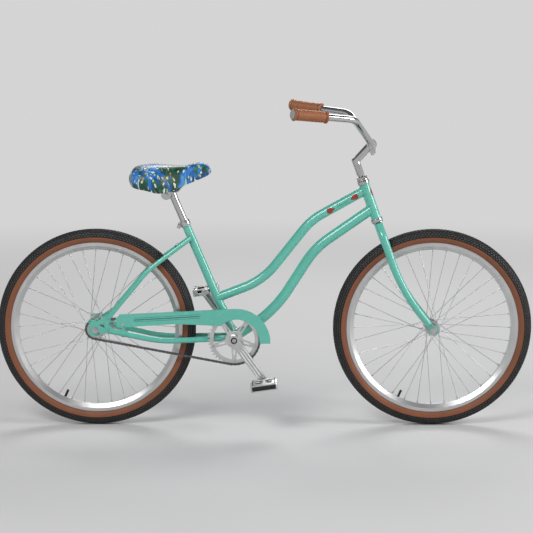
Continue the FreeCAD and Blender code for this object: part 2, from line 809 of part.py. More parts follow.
left_turn = spun(float(s.crank_angle) + 180)
piece(crank("right_crank", -1, crank_turn, [spider]), "crank_right")
piece(crank("left_crank", 1, left_turn, []), "crank_left")

# The chain's loop: a run over the top, round the sprocket, back below and round the chainring.
toward = (rear_axle - bracket).normalize()
lean = math.asin((float(ring_radius) - float(cog_radius)) / spacing)
square_up = Vector(toward.z, 0, -toward.x)
upper = toward * math.sin(lean) + square_up * math.cos(lean)
lower = toward * math.sin(lean) - square_up * math.cos(lean)
run = spacing * math.cos(lean)
cog_wrap = float(cog_radius) * (math.pi - 2 * lean)
pitch = float(s.chain_pitch)


def turn_on(start, angle):
    """The side view direction start, turned towards the rear and then down."""
    return Rotation(Vector(0, -1, 0), math.degrees(angle)).multVec(start)


def loop_point(distance):
    distance %= chain_length
    if distance < run:
        start = bracket + upper * float(ring_radius)
        end = rear_axle + upper * float(cog_radius)
        return start + (end - start) * (distance / run)
    distance -= run
    if distance < cog_wrap:
        return rear_axle + turn_on(upper, distance / float(cog_radius)) * float(cog_radius)
    distance -= cog_wrap
    if distance < run:
        start = rear_axle + lower * float(cog_radius)
        end = bracket + lower * float(ring_radius)
        return start + (end - start) * (distance / run)
    distance -= run
    return bracket + turn_on(lower, distance / float(ring_radius)) * float(ring_radius)


rollers = [loop_point(number * pitch) for number in range(int(float(s.chain_links)))]
ring_phase = math.degrees(math.atan2(upper.z, upper.x))
first_on_cog = math.ceil(run / pitch)
cog_spot = rollers[first_on_cog] - rear_axle
cog_phase = math.degrees(math.atan2(cog_spot.z, cog_spot.x))


def toothed(name, teeth, radius, centre, phase):
    """A flat toothed disc whose first gap lies at the phase angle."""
    body = new_body(name, Placement(centre - ACROSS * float(s.chain_line), spun(phase)))
    disc = sketch(body, name + "_disc", "XZ_Plane")
    circle(disc, 0, 0, radius + s.tooth_height)
    pad(body, disc, s.tooth_thickness, middle=True)
    gap = s.roller_diameter / 2 + s.seat_gap
    seat = sketch(body, name + "_seat", "XZ_Plane")
    circle(seat, radius, 0, gap)
    seat_pocket = pocket(body, seat, middle=True)
    mouth = sketch(body, name + "_mouth", "XZ_Plane")
    outline(mouth, [(radius, -gap), (radius + 5, -gap - 2.5), (radius + 5, gap + 2.5), (radius, gap)])
    mouth_pocket = pocket(body, mouth, middle=True)
    around(body, [seat_pocket, mouth_pocket], teeth)
    return body


spider_bolts = [bracket + spider_turn.multVec(spun(360 / float(s.spider_arms) * number).multVec(
    Vector(float(bolt_reach), 0, 0))) for number in range(int(float(s.spider_arms)))]
ring_holes = [across("ring_hole", 3 + s.fit_gap, -60, -40, spot) for spot in spider_bolts]
piece(cut("chainring_ring", toothed("chainring_teeth", s.chainring_teeth, ring_radius, bracket, ring_phase),
          across("chainring_window", s.chainring_inner_diameter / 2, -60, -40, bracket), *ring_holes),
      "chainring")

spider_outer = ring_outer + s.spider_thickness
ring_inner = s.chain_line - s.tooth_thickness / 2
bolts = []
for spot in spider_bolts:
    bolts.append(fuse("chainring_bolt", across("bolt_head", 4.5, -spider_outer - 1.5, -spider_outer, spot),
                      across("bolt_shank", 3, -spider_outer - 1, 1 - ring_inner, spot),
                      across("bolt_nut", 4.5, -ring_inner, 1.5 - ring_inner, spot)))
for side, turn in ((-1, crank_turn), (1, left_turn)):
    start = bracket + ACROSS * side * float(square_end)
    outward = ACROSS * side
    head = doc.addObject("Part::Prism", "crank_bolt_head")
    head.Polygon = 6
    bind(head, "Circumradius", 7.5)
    bind(head, "Height", 6)
    head.Placement = along(start + outward * 0.05, outward)
    bolts.append(fuse("crank_bolt", head,
                      cylinder("crank_bolt_washer", 10.5, 2, start + outward * 0.05, outward),
                      cylinder("crank_bolt_shank", 4, 18, start + outward, outward * -1)))
piece(group("crank_bolt_set", *bolts), "crankset_bolts")

# The sprocket sits on its carrier, which turns on the rear axle beside the hub.
rear_end = s.rear_hub_width / 2
cog = toothed("sprocket_teeth", s.sprocket_teeth, cog_radius, rear_axle, cog_phase)
carrier = across("carrier", 15, 6.5 - rear_end, 17 - rear_end, rear_axle)
carrier_bore = across("carrier_bore", s.axle_diameter / 2 + 0.08, -rear_end, 0, rear_axle)
piece(cut("sprocket_bored", fuse("sprocket_solid", cog, carrier), carrier_bore), "rear_sprocket")

# Chain links, inner and outer in turn.
plate_height = 4


def chain_plate(start, thickness):
    long = Part.makeBox(pitch, thickness, 2 * plate_height - 1.6, Vector(0, start, 0.8 - plate_height))
    ends = [Part.makeCylinder(plate_height, thickness, Vector(x, start, 0), ACROSS) for x in (0, pitch)]
    return long.fuse(ends)


def chain_link(inner):
    half = 1.75 if inner else 2.9
    solid = chain_plate(half, 1).fuse(chain_plate(-half - 1, 1))
    for x in (0, pitch):
        if inner:
            roller = Part.makeCylinder(float(s.roller_diameter) / 2, 2 * half, Vector(x, -half, 0), ACROSS)
            solid = solid.fuse(roller)
            solid = solid.cut(Part.makeCylinder(1.9, 8, Vector(x, -4, 0), ACROSS))
        else:
            solid = solid.fuse(Part.makeCylinder(1.8, 8.6, Vector(x, -4.3, 0), ACROSS))
    return solid.removeSplitter()


link_shapes = [chain_link(True), chain_link(False)]
links = []
for number, spot in enumerate(rollers):
    ahead = rollers[(number + 1) % len(rollers)]
    slope = math.degrees(math.atan2(ahead.z - spot.z, ahead.x - spot.x))
    link = link_shapes[number % 2].copy()
    link.Placement = Placement(spot - ACROSS * float(s.chain_line), spun(slope))
    links.append(link)
piece(made("chain_links", Part.makeCompound(links)), "chain")

# Pedals: an axle screwed into each crank, and a body with two rubber treads that turns on it.
pedal_radius = s.pedal_axle_diameter / 2
pedal_start = crank_outer + 6
pedal_end = pedal_start + s.pedal_width
axles = []
for side, word, turn in ((-1, "right", crank_turn), (1, "left", left_turn)):
    tip = bracket + turn.multVec(Vector(float(s.crank_length), 0, 0))
    outward = ACROSS * side
    start = tip + outward * float(s.crank_inner_face)
    axles.append(fuse("pedal_axle_" + word,
                      cylinder("pedal_thread", thread_radius, s.crank_thickness, start, outward),
                      cylinder("pedal_shoulder", thread_radius + 1.5, 4.5,
                               tip + outward * float(crank_outer), outward),
                      cylinder("pedal_shaft", pedal_radius, pedal_end - s.crank_inner_face - 6,
                               start, outward)))
    middle = tip + outward * float((pedal_start + pedal_end) / 2)
    rest = Placement(middle, spun(float(s.pedal_tilt)))
    bore = cylinder("pedal_bore", pedal_radius + 0.08, s.pedal_width - 4,
                    tip + outward * float(pedal_start), outward)
    barrel = cylinder("pedal_barrel", 10, s.pedal_width, tip + outward * float(pedal_start), outward)
    plates = []
    for end in (-1, 1):
        away = ACROSS * end * float(s.pedal_width / 2 - 2)
        plates.append(block("pedal_side", s.pedal_length - 8, 4, s.pedal_height,
                            rest.multiply(Placement(away, Rotation()))))
        away = FORWARD * end * float(s.pedal_length / 2 - 2)
        plates.append(block("pedal_cage", 4, s.pedal_width, s.pedal_height - 6,
                            rest.multiply(Placement(away, Rotation()))))
        away = FORWARD * end * float(s.pedal_length / 2 - 5)
        for side_end in (-1, 1):
            corner = away + ACROSS * side_end * float(s.pedal_width / 2 - 2)
            plates.append(block("pedal_corner", 6, 4, s.pedal_height - 6,
                                rest.multiply(Placement(corner, Rotation()))))
    treads = []
    for end in (-1, 1):
        depth = s.pedal_length / 2 - 4 - 12
        away = FORWARD * end * float(12 + depth / 2)
        treads.append(block("pedal_tread", depth, s.pedal_width - 8, s.pedal_height - 2,
                            rest.multiply(Placement(away, Rotation()))))
    piece(cut("pedal_frame_" + word, fuse("pedal_solid_" + word, barrel, *plates), bore),
          "pedal_body_" + word)
    piece(group("pedal_tread_pair_" + word, *treads), "pedal_treads_" + word)
piece(group("pedal_axle_pair", *axles), "pedal_axles")

# Wheels: tyre casing and tread, inner tube, rim, hub, balls and laced spokes.
section = wheel_radius - s.tyre_width / 2
wall_out = s.tyre_width / 2
wall_mid = wall_out - s.tread_wall
wall_in = wall_mid - s.casing_wall
rim_top = s.rim_diameter / 2
bead_seat = rim_top - s.bead_height
rim_low = rim_top - s.rim_depth
foot_out = s.bead_width / 2
foot_in = foot_out - s.bead_wall
rim_in = foot_out + 0.4
rim_out = rim_in + s.rim_flange
holes = int(float(s.spoke_count))
step = 360 / holes


def beside(radius, height):
    """How far out a ring of the tyre's section reaches at a height above the axle."""
    return math.sqrt(float(radius) ** 2 - (float(section) - float(height)) ** 2)


def tyre(word, centre):
    ledge = rim_top + 0.8
    low = bead_seat + 0.3
    shoulder = beside(wall_out, ledge)
    throat = float(section) - math.sqrt(float(wall_in) ** 2 - float(foot_in) ** 2)
    corners = [(section, wall_out), (ledge, shoulder), (ledge, foot_out), (low, foot_out), (low, foot_in),
               (throat, foot_in), (throat, -foot_in), (low, -foot_in), (low, -foot_out), (ledge, -foot_out),
               (ledge, -shoulder), (section, -wall_out), (section, -wall_mid), (section, wall_mid)]
    arcs = {0: (section, 0, wall_out, True), 5: (section, 0, wall_in, False),
            10: (section, 0, wall_out, True), 12: (section, 0, wall_mid, True)}
    piece(turned(word + "_casing", corners, arcs, centre), word + "_tyre_casing")
    foot = section + s.seat_gap
    inner = wall_mid + s.seat_gap
    corners = [(foot, -beside(wall_out, foot)), (foot, beside(wall_out, foot)),
               (foot, beside(inner, foot)), (foot, -beside(inner, foot))]
    arcs = {0: (section, 0, wall_out, True), 2: (section, 0, inner, False)}
    piece(turned(word + "_tread", corners, arcs, centre), word + "_tyre_tread")


def torus(name, radius, centre):
    obj = doc.addObject("Part::Torus", name)
    bind(obj, "Radius1", section)
    bind(obj, "Radius2", radius)
    obj.Placement = along(centre, ACROSS)
    return obj


def radial(name, radius, start, end, centre, angle):
    """A cylinder along a wheel's radius."""
    way = spun(angle).multVec(FORWARD)
    start, end = dim(start), dim(end)
    return cylinder(name, radius, end - start, centre + way * start.value, way)


def inner_tube(word, centre, angle):
    outside = wall_in - 0.3
    low = section - outside
    stem = radial(word + "_valve", s.valve_diameter / 2, low - s.valve_length, low + 2, centre, angle)
    air = radial(word + "_valve_bore", 1.5, low - s.valve_length, low + 6, centre, angle)
    solid = fuse(word + "_tube_solid", torus(word + "_tube_outside", outside, centre), stem)
    hollow = torus(word + "_tube_air", outside - s.inner_tube_wall, centre)
    piece(cut(word + "_tube", solid, hollow, air), word + "_inner_tube")


def rim(word, centre, angle):
    base = s.rim_base_width / 2
    body = new_body(word + "_rim_body", Placement(centre, Rotation()))
    drawing = sketch(body, word + "_rim_section", "XY_Plane")
    outline(drawing, [(rim_top, rim_in), (rim_top, rim_out), (bead_seat - 3, rim_out), (rim_low, base),
                      (rim_low, -base), (bead_seat - 3, -rim_out), (rim_top, -rim_out), (rim_top, -rim_in),
                      (bead_seat, -rim_in), (bead_seat, rim_in)])
    roof = bead_seat - s.rim_wall
    side = rim_out - s.rim_wall
    outline(drawing, [(roof, side), (roof - 1.5, side), (rim_low + s.rim_wall, base - 0.6),
                      (rim_low + s.rim_wall, 0.6 - base), (roof - 1.5, -side), (roof, -side)])
    turn = body.newObject("PartDesign::Revolution", word + "_rim_turn")
    turn.Profile = drawing
    turn.ReferenceAxis = (drawing, ["V_Axis"])
    turn.Angle = 360
    drills = []
    for number in range(holes):
        way = spun(step * number).multVec(FORWARD)
        foot, top = float(rim_low), float(bead_seat)
        drill_radius = float(s.nipple_diameter) / 2 + 0.6
        drills.append(Part.makeCylinder(drill_radius, 10, centre + way * (foot - 5), way))
        drills.append(Part.makeCylinder(4.4, 10, centre + way * (top - 5), way))
    valve = radial(word + "_valve_hole", s.valve_diameter / 2 + 0.4, rim_low - 10, rim_top + 10,
                   centre, angle)
    body.Tip = turn
    drilled = cut(word + "_rim_drilled", body, made(word + "_nipple_holes", Part.makeCompound(drills)))
    piece(cut(word + "_rim_with_valve_hole", drilled, valve), word + "_rim")


def hub(word, centre, spacing, flange, circle_size, ball_size, ball_circle, body_size, half):
    """A hub shell with a drilled flange at each end and a pocket for the balls."""
    bore = s.axle_diameter / 2 + 2.5
    pocket_radius = ball_circle / 2 + ball_size / 2 + s.ball_gap
    end = pocket_radius + 3
    out = spacing / 2 + s.flange_thickness / 2
    inn = spacing / 2 - s.flange_thickness / 2
    right = [(bore, 11 - half), (pocket_radius, 11 - half), (pocket_radius, -half), (end, -half), (end, -out),
             (flange / 2, -out), (flange / 2, -inn), (body_size / 2, -inn)]
    left = [(radius, -height) for radius, height in reversed(right)]
    body = turned(word + "_hub_body", right + left, None, centre)
    drills = []
    for side, offset in ((-1, 0), (1, step)):
        for number in range(holes // 2):
            way = spun(offset + 2 * step * number).multVec(FORWARD)
            foot = centre + way * float(circle_size / 2) + ACROSS * side * float(inn - 1)
            drills.append(Part.makeCylinder(float(s.spoke_diameter) / 2 + 0.3, 6, foot, ACROSS * side))
    piece(cut(word + "_hub_drilled", body, made(word + "_spoke_holes", Part.makeCompound(drills))),
          word + "_hub_shell")
    balls = []
    for side in (-1, 1):
        balls += ball_ring(11, ball_size, ball_circle / 2, centre + ACROSS * side * (float(half) - 6), ACROSS)
    piece(made(word + "_hub_ball_set", Part.makeCompound(balls)), word + "_hub_balls")


def spokes(word, centre, spacing, circle_size):
    thin = float(s.spoke_diameter) / 2
    reach = float(circle_size) / 2
    wall = float(s.flange_thickness) / 2
    cross = float(s.spoke_crossings) * 2 * step
    rim_spot = float(rim_low)
    shapes = []
    for side, offset in ((-1, 0), (1, step)):
        flange = side * float(spacing) / 2
        for outside, sweep in ((True, cross), (False, -cross)):
            hub_angle = offset + (0 if outside else 2 * step)
            lift = wall + thin + (float(s.spoke_lift) if outside else 0.2)
            start_y = flange + side * lift * (1 if outside else -1)
            head_y = flange - side * (wall + 1.2) * (1 if outside else -1)
            start = spun(hub_angle).multVec(Vector(reach, 0, 0)) + ACROSS * start_y
            end = spun(hub_angle + sweep).multVec(Vector(rim_spot + 4, 0, 0))
            way = end - start
            length = way.Length
            way.normalize()
            wire = Part.makeCylinder(thin, length - 1, start, way)
            elbow_foot = spun(hub_angle).multVec(Vector(reach, 0, 0)) + ACROSS * min(start_y, head_y)
            elbow = Part.makeCylinder(thin, abs(head_y - start_y), elbow_foot, ACROSS)
            head_low = head_y - 0.9 if head_y > start_y else head_y
            head_foot = elbow_foot + ACROSS * (head_low - min(start_y, head_y))
            head = Part.makeCylinder(1.9, 0.9, head_foot, ACROSS)
            spoke = wire.fuse([elbow, head, Part.makeSphere(thin, start)]).removeSplitter()
            bottom = end - way * (float(s.nipple_length) - 2)
            shank = Part.makeCylinder(float(s.nipple_diameter) / 2, float(s.nipple_length), bottom, way)
            cap = Part.makeCylinder(float(s.nipple_diameter) / 2 + 1.1, 2.2, end - way * 0.2, way)
            nipple = shank.fuse(cap).cut(Part.makeCylinder(thin + 0.05, length, bottom - way, way))
            for turn in range(holes // 4):
                for shape in (spoke, nipple.removeSplitter()):
                    copy = shape.copy()
                    copy.Placement = Placement(centre, spun(4 * step * turn))
                    shapes.append(copy)
    piece(made(word + "_spoke_set", Part.makeCompound(shapes)), word + "_spokes")


hub_sizes = {
    "front": (front_axle, s.front_flange_spacing, s.front_flange_diameter, s.front_spoke_circle,
              s.front_ball_diameter, s.front_ball_circle, s.front_hub_body, s.front_hub_width / 2 - 10),
    "rear": (rear_axle, s.rear_flange_spacing, s.rear_flange_diameter, s.rear_spoke_circle,
             s.rear_ball_diameter, s.rear_ball_circle, s.rear_hub_body, s.rear_hub_width / 2 - 18.5),
}
for word, hub_size in hub_sizes.items():
    centre = hub_size[0]
    valve_angle = step / 2 + 24 * step
    tyre(word, centre)
    inner_tube(word, centre, valve_angle)
    rim(word, centre, valve_angle)
    hub(word, *hub_size)
    spokes(word, centre, hub_size[1], hub_size[3])

# Axles with their cones, and the nuts that hold them in the dropouts.
axle_radius = s.axle_diameter / 2
axle_hole = axle_radius + s.fit_gap


def ring_on_axle(name, radius, start, end, centre):
    return cut(name, across(name + "_solid", radius, start, end, centre),
               across(name + "_hole", axle_hole, start, end, centre))


front_half = s.front_hub_width / 2
front_shell = hub_sizes["front"][7]
front_cone = s.front_ball_circle / 2 - s.front_ball_diameter / 2 - s.ball_gap
front_parts = [across("front_axle_rod", axle_radius, -front_half - 18, front_half + 18, front_axle)]
for side in (-1, 1):
    low, high = sorted([side * float(front_shell - 10), side * float(front_shell + 1.5)])
    front_parts.append(ring_on_axle("front_cone", front_cone, low, high, front_axle))
    start = front_axle + ACROSS * side * float(front_shell + 1.7)
    front_parts.append(hexagon("front_locknut", 8.5, front_half - front_shell - 1.7,
                               start, ACROSS * side, axle_hole))
piece(group("front_axle_set", *front_parts), "front_axle")

rear_half = s.rear_hub_width / 2
rear_shell = hub_sizes["rear"][7]
rear_cone = s.rear_ball_circle / 2 - s.rear_ball_diameter / 2 - s.ball_gap
arm_start = rear_shell + 4
arm_end = arm_start + 3
rear_parts = [across("rear_axle_rod", axle_radius, -rear_half - 20, rear_half + 20, rear_axle),
              ring_on_axle("rear_cone_right", rear_cone, 0.8 - rear_shell, 10 - rear_shell, rear_axle),
              ring_on_axle("rear_cone_left", rear_cone, rear_shell - 10, arm_start - 0.2, rear_axle),
              hexagon("rear_locknut_right", 10, 6, rear_axle - ACROSS * float(rear_half), ACROSS, axle_hole),
              hexagon("rear_locknut_left", 10, rear_half - arm_end, rear_axle + ACROSS * float(arm_end), ACROSS,
                      axle_hole)]
piece(group("rear_axle_set", *rear_parts), "rear_axle")


def axle_nuts(word, centre, face):
    nuts = []
    for side in (-1, 1):
        outward = ACROSS * side
        start = centre + outward * float(face)
        nuts.append(pipe(word + "_washer", 11.5, axle_hole, 1.6, start, outward))
        nuts.append(hexagon(word + "_nut", 9.8, 9, start + outward * 1.6, outward, axle_hole))
    piece(group(word + "_nut_set", *nuts), word + "_axle_nuts")


axle_nuts("front", front_axle, front_half + s.fork_end_thickness)
axle_nuts("rear", rear_axle, rear_half + s.dropout_thickness)

# Coaster brake arm on the left, held to the chain stay by a clip.
arm_way = spun(-18)
arm_tip = rear_axle + arm_way.multVec(Vector(97, 0, 0))
arm_middle = (rear_axle + arm_tip) * 0.5 + ACROSS * float((arm_start + arm_end) / 2)
arm_bar = block("brake_arm_bar", 97, arm_end - arm_start, 14, Placement(arm_middle, arm_way))
arm_solid = fuse("brake_arm_solid", arm_bar, across("brake_arm_eye", 17, arm_start, arm_end, rear_axle),
                 across("brake_arm_end", 7, arm_start, arm_end, arm_tip))
piece(cut("brake_arm_cut", arm_solid, across("brake_arm_hole", axle_hole, arm_start, arm_end, rear_axle),
          across("brake_arm_screw_hole", 2.5 + s.fit_gap, arm_start, arm_end, arm_tip)), "coaster_brake_arm")


def stay_spot(side, share):
    """A place on the straight rear run of a chain stay."""
    return stay_end[side] + (stay_bend[side] - stay_end[side]) * share


def clip_ring(name, side, share):
    """A ring round a chain stay, and its bore, which is longer so that it clears the clip's tab too."""
    way = (stay_bend[side] - stay_end[side]).normalize()
    middle = stay_spot(side, share)
    radius = s.chain_stay_diameter / 2
    ring = cylinder(name, radius + 2, 12, middle - way * 6, way)
    bore = cylinder(name + "_bore", radius + s.fit_gap, 30, middle - way * 15, way)
    return ring, bore


ring, bore = clip_ring("brake_clip_ring", 1, 0.265)
tab_top = stay_spot(1, 0.265)
tab_high = tab_top.z - 4
tab_low = arm_tip.z - 7
tab_middle = Vector(arm_tip.x, float(arm_end) + 1.5, (tab_high + tab_low) / 2)
tab = block("brake_clip_tab", 13, 3, tab_high - tab_low, Placement(tab_middle, Rotation()))
brake_clip = cut("brake_clip", fuse("brake_clip_solid", ring, tab), bore,
                 across("brake_clip_hole", 2.5 + s.fit_gap, arm_end, arm_end + 3, arm_tip))

# Chain guard: a pressed plate with an inturned flange along its outer edge.
guard_x, guard_z = 8, -9
guard_in = -s.guard_face
centre = from_bracket(guard_x, 0, guard_z)
big, small = s.guard_outer_radius, s.guard_inner_radius
tail = [from_rear(80, 0, 51) - centre, from_rear(68, 0, 37) - centre, from_rear(71, 0, 7) - centre,
        from_rear(270, 0, 20) - centre]


def on_ring(radius, angle):
    return (float(radius) * math.cos(math.radians(angle)), float(radius) * math.sin(math.radians(angle)))


tangent = 92.8
guard = new_body("guard", Placement(Vector(centre.x, float(guard_in), centre.z), Rotation()))
plate = sketch(guard, "guard_outline", "XZ_Plane")
corners = [on_ring(small, -3), on_ring(big, -2), on_ring(big, tangent)] + [(spot.x, spot.z) for spot in tail]
corners += [on_ring(small, 134), on_ring(small, 118)]
outline(plate, corners, {1: (0, 0, big, True), 8: (0, 0, small, False)})
pad(guard, plate, s.guard_thickness)
lip = sketch(guard, "guard_lip", "XZ_Plane")
rear_top = tail[0]
outline(lip, [on_ring(big - 1.4, -2), on_ring(big, -2), on_ring(big, tangent), (rear_top.x, rear_top.z),
              (rear_top.x + 0.1, rear_top.z - 1.4), on_ring(big - 1.4, tangent)],
        {1: (0, 0, big, True), 5: (0, 0, big - 1.4, False)})
pad(guard, lip, s.guard_flange, back=True)
guard_screw = from_rear(92, 0, 18)
screw_radius = 2.5
piece(cut("guard_drilled", guard, across("guard_hole", screw_radius + s.fit_gap, -80, -40, guard_screw)),
      "chain_guard")

ring, bore = clip_ring("guard_clip_ring", -1, 0.265)
tab_low = stay_spot(-1, 0.265).z + 8
tab_high = guard_screw.z + 6
tab_middle = Vector(guard_screw.x, float(guard_in) + 1, (tab_high + tab_low) / 2)
tab = block("guard_clip_tab", 12, 2, tab_high - tab_low, Placement(tab_middle, Rotation()))
rear_clip = cut("guard_clip", fuse("guard_clip_solid", ring, tab), bore,
                across("guard_clip_hole", screw_radius + s.fit_gap, -80, -40, guard_screw))
mount = seat_line(102)
band = cylinder("guard_band", s.seat_tube_diameter / 2 + 2, 10, mount - seat_up * 5, seat_up)
band_hole = cylinder("guard_band_hole", s.seat_tube_diameter / 2 + s.fit_gap, 10,
                     mount - seat_up * 5, seat_up)
reach = s.guard_face - 12
arm = block("guard_arm", 12, reach, 3, Placement(mount - ACROSS * float(12 + reach / 2), Rotation()))
foot = block("guard_foot", 12, 2, 10, Placement(Vector(mount.x, float(guard_in) + 1, mount.z), Rotation()))
front_clip = cut("guard_bracket", fuse("guard_bracket_solid", band, arm, foot), band_hole)
piece(group("clip_set", rear_clip, front_clip, brake_clip), "stay_clips")

face = -s.guard_face - s.guard_thickness
guard_bolt = fuse("guard_bolt", across("guard_bolt_head", 5, face - 2.5, face, guard_screw),
                  across("guard_bolt_shank", screw_radius, face - 1, guard_in + 6, guard_screw))
guard_nut = hexagon("guard_nut", 4.6, 3, Vector(guard_screw.x, float(guard_in) + 2.05, guard_screw.z), ACROSS,
                    screw_radius + s.fit_gap)
arm_bolt = fuse("arm_bolt", across("arm_bolt_head", 4.5, arm_start - 2.5, arm_start, arm_tip),
                across("arm_bolt_shank", screw_radius, arm_start - 1, arm_end + 7, arm_tip))
arm_nut = hexagon("arm_nut", 4.6, 3, Vector(arm_tip.x, float(arm_end) + 3.05, arm_tip.z), ACROSS,
                  screw_radius + s.fit_gap)
piece(group("clip_screw_set", guard_bolt, guard_nut, arm_bolt, arm_nut), "clip_screws")

# Seat clamp collar with its rear ears and bolt.
collar_start = s.seat_tube_length - s.collar_height + 0.5
collar_radius = s.seat_tube_diameter / 2 + s.collar_wall
rearward = Vector(-math.sin(seat_lean), 0, -math.cos(seat_lean))
ear_turn = spun(float(s.seat_angle) - 90)
ear_spot = seat_line(collar_start + s.collar_height / 2) + rearward * float(collar_radius + 3.5)
ears = block("collar_ears", 13, 17, s.collar_height, Placement(ear_spot, ear_turn))
slit = block("collar_slit", 30, 2.5, s.collar_height, Placement(ear_spot, ear_turn))
collar = cut("collar", fuse("collar_solid",
                            cylinder("collar_ring", collar_radius, s.collar_height,
                                     seat_line(collar_start), seat_up),
                            ears),
             cylinder("collar_bore", s.seat_tube_diameter / 2 + s.fit_gap, s.collar_height,
                      seat_line(collar_start), seat_up),
             slit, across("collar_hole", 3 + s.fit_gap, -20, 20, ear_spot + rearward * 1.5))
bolt_spot = ear_spot + rearward * 1.5
collar_bolt = fuse("collar_bolt", across("collar_bolt_head", 5, -12.5, -8.55, bolt_spot),
                   across("collar_bolt_shank", 3, -9, 13, bolt_spot))
collar_nut = hexagon("collar_nut", 5.6, 4, Vector(bolt_spot.x, 8.55, bolt_spot.z), ACROSS, 3 + s.fit_gap)
piece(group("collar_set", collar, collar_bolt, collar_nut), "seat_clamp")

# Seat post with the block that carries the saddle clamp.
post_top = s.seat_tube_length + s.post_rise
neck = 30
post = fuse("post_solid", cylinder("post_main", s.post_diameter / 2, s.post_length - neck,
                                   seat_line(post_top - s.post_length), seat_up),
            cylinder("post_neck", s.post_neck_diameter / 2, neck + 5, seat_line(post_top - neck - 5), seat_up))
hollow = cylinder("post_hollow", s.post_neck_diameter / 2 - 2, s.post_length,
                  seat_line(post_top - s.post_length), seat_up)
clamp_axis = seat_line(post_top - neck / 2) - FORWARD * float(s.clamp_offset)
sleeve = cylinder("clamp_sleeve", s.post_neck_diameter / 2 + 2.5, neck - 2,
                  seat_line(post_top - neck + 0.5), seat_up)
lug = across("clamp_lug", 12, -14, 14, clamp_axis)
clamp_block = cut("clamp_block", fuse("clamp_block_solid", sleeve, lug),
                  cylinder("clamp_post_bore", s.post_neck_diameter / 2 + s.fit_gap, 60,
                           seat_line(post_top - neck - 10), seat_up),
                  across("clamp_bolt_bore", 4 + s.fit_gap, -14, 14, clamp_axis))
piece(group("post_set", cut("post", post, hollow), clamp_block), "seat_post")

# Saddle clamp: discs each side of the rails on one cross bolt.
rail_half = s.rail_spacing / 2
rail_radius = s.rail_diameter / 2
disc_radius = s.clamp_disc_diameter / 2
rail_in = rail_half - rail_radius - 0.1
rail_out = rail_half + rail_radius + 0.1
clamp_parts = [across("clamp_bolt", 4, -rail_out - 12, rail_out + 12, clamp_axis)]
for side in (-1, 1):
    low, high = sorted([side * 14.3, side * float(rail_in)])
    inner_disc = across("inner_disc", disc_radius, low, high, clamp_axis)
    inner_bore = across("inner_disc_bore", 4 + s.fit_gap, low, high, clamp_axis)
    clamp_parts.append(cut("inner_disc_bored", inner_disc, inner_bore))
    low, high = sorted([side * float(rail_out), side * float(rail_out + 4)])
    outer_disc = across("outer_disc", disc_radius, low, high, clamp_axis)
    outer_bore = across("outer_disc_bore", 4 + s.fit_gap, low, high, clamp_axis)
    clamp_parts.append(cut("outer_disc_bored", outer_disc, outer_bore))
    start = Vector(clamp_axis.x, side * float(rail_out + 4.05), clamp_axis.z)
    clamp_parts.append(hexagon("clamp_nut", 7.5, 6, start, ACROSS * side, 4 + s.fit_gap))
piece(group("clamp_set", *clamp_parts), "saddle_clamp")

# Saddle: rails, moulded base and a cushion lofted through arched sections.
roof = float(s.saddle_roof)
base_low = roof - 0.3 - float(s.base_thickness)
rail_height = clamp_axis.z + float(rail_radius) + 5.5
rails = []
for side in (-1, 1):
    rail_points = [Vector(rear_axle.x + 160, 38 * side, base_low + 3),
                   Vector(rear_axle.x + 199, float(rail_half) * side, rail_height),
                   Vector(rear_axle.x + 273, float(rail_half) * side, rail_height),
                   Vector(rear_axle.x + 314, 9 * side, base_low + 3)]
    wire = swept("rail", rail_points, [18, 18], rail_radius, None)
    trim = block("rail_trim", 400, 200, 40, Placement(Vector(rear_axle.x + 240, 0, base_low + 20), Rotation()))
    rails.append(cut("rail_cut", wire, trim))
piece(group("rail_pair", *rails), "saddle_rails")

hollow_plan = [(140, 52), (165, 80), (210, 74), (255, 44), (300, 22), (342, 12)]


def plan_body(name, inset, foot, height):
    body = new_body(name, Placement(Vector(rear_axle.x, 0, foot), Rotation()))
    drawing = sketch(body, name + "_plan", "XY_Plane")
    near = [(x, inset - half) for x, half in hollow_plan]
    near[0] = (near[0][0] + inset, near[0][1])
    near[-1] = (near[-1][0] - inset, near[-1][1])
    outline(drawing, near + [(x, -half) for x, half in reversed(near)])
    pad(body, drawing, height)
    return body


piece(plan_body("saddle_base_plate", 1, base_low, s.base_thickness), "saddle_base")

saddle_scale = float(s.saddle_length) / 263
saddle_sections = [(119, 50, 818, 846), (127, 80, 809, 861), (143, 98, 803, 870), (175, 106, 797, 875),
                   (215, 96, 787, 876), (255, 68, 792, 873), (298, 42, 809, 872), (338, 33, 825, 881),
                   (362, 29, 835, 880), (376, 22, 842, 870), (382, 13, 848, 860)]
wires = []
for x, half, low, top in saddle_sections:
    half *= float(s.saddle_width) / 212
    x = rear_axle.x + 250.5 + (x - 250.5) * saddle_scale
    tall = top - low
    spots = [Vector(x, half * y, low + tall * z) for y, z in
             ((0.86, 0), (1, 0.42), (0.74, 0.86), (0, 1), (-0.74, 0.86), (-1, 0.42), (-0.86, 0))]
    edges = [Part.Arc(*spots[first:first + 3]).toShape() for first in (0, 2, 4)]
    edges.append(Part.LineSegment(spots[6], spots[0]).toShape())
    wires.append(made("saddle_section", Part.Wire(edges)))
loft = doc.addObject("Part::Loft", "saddle_loft")
loft.Sections = wires
loft.Solid = True
loft.Ruled = False
piece(cut("saddle_hollowed", loft, plan_body("saddle_hollow", 0, roof - 90, 90)), "saddle_cushion")

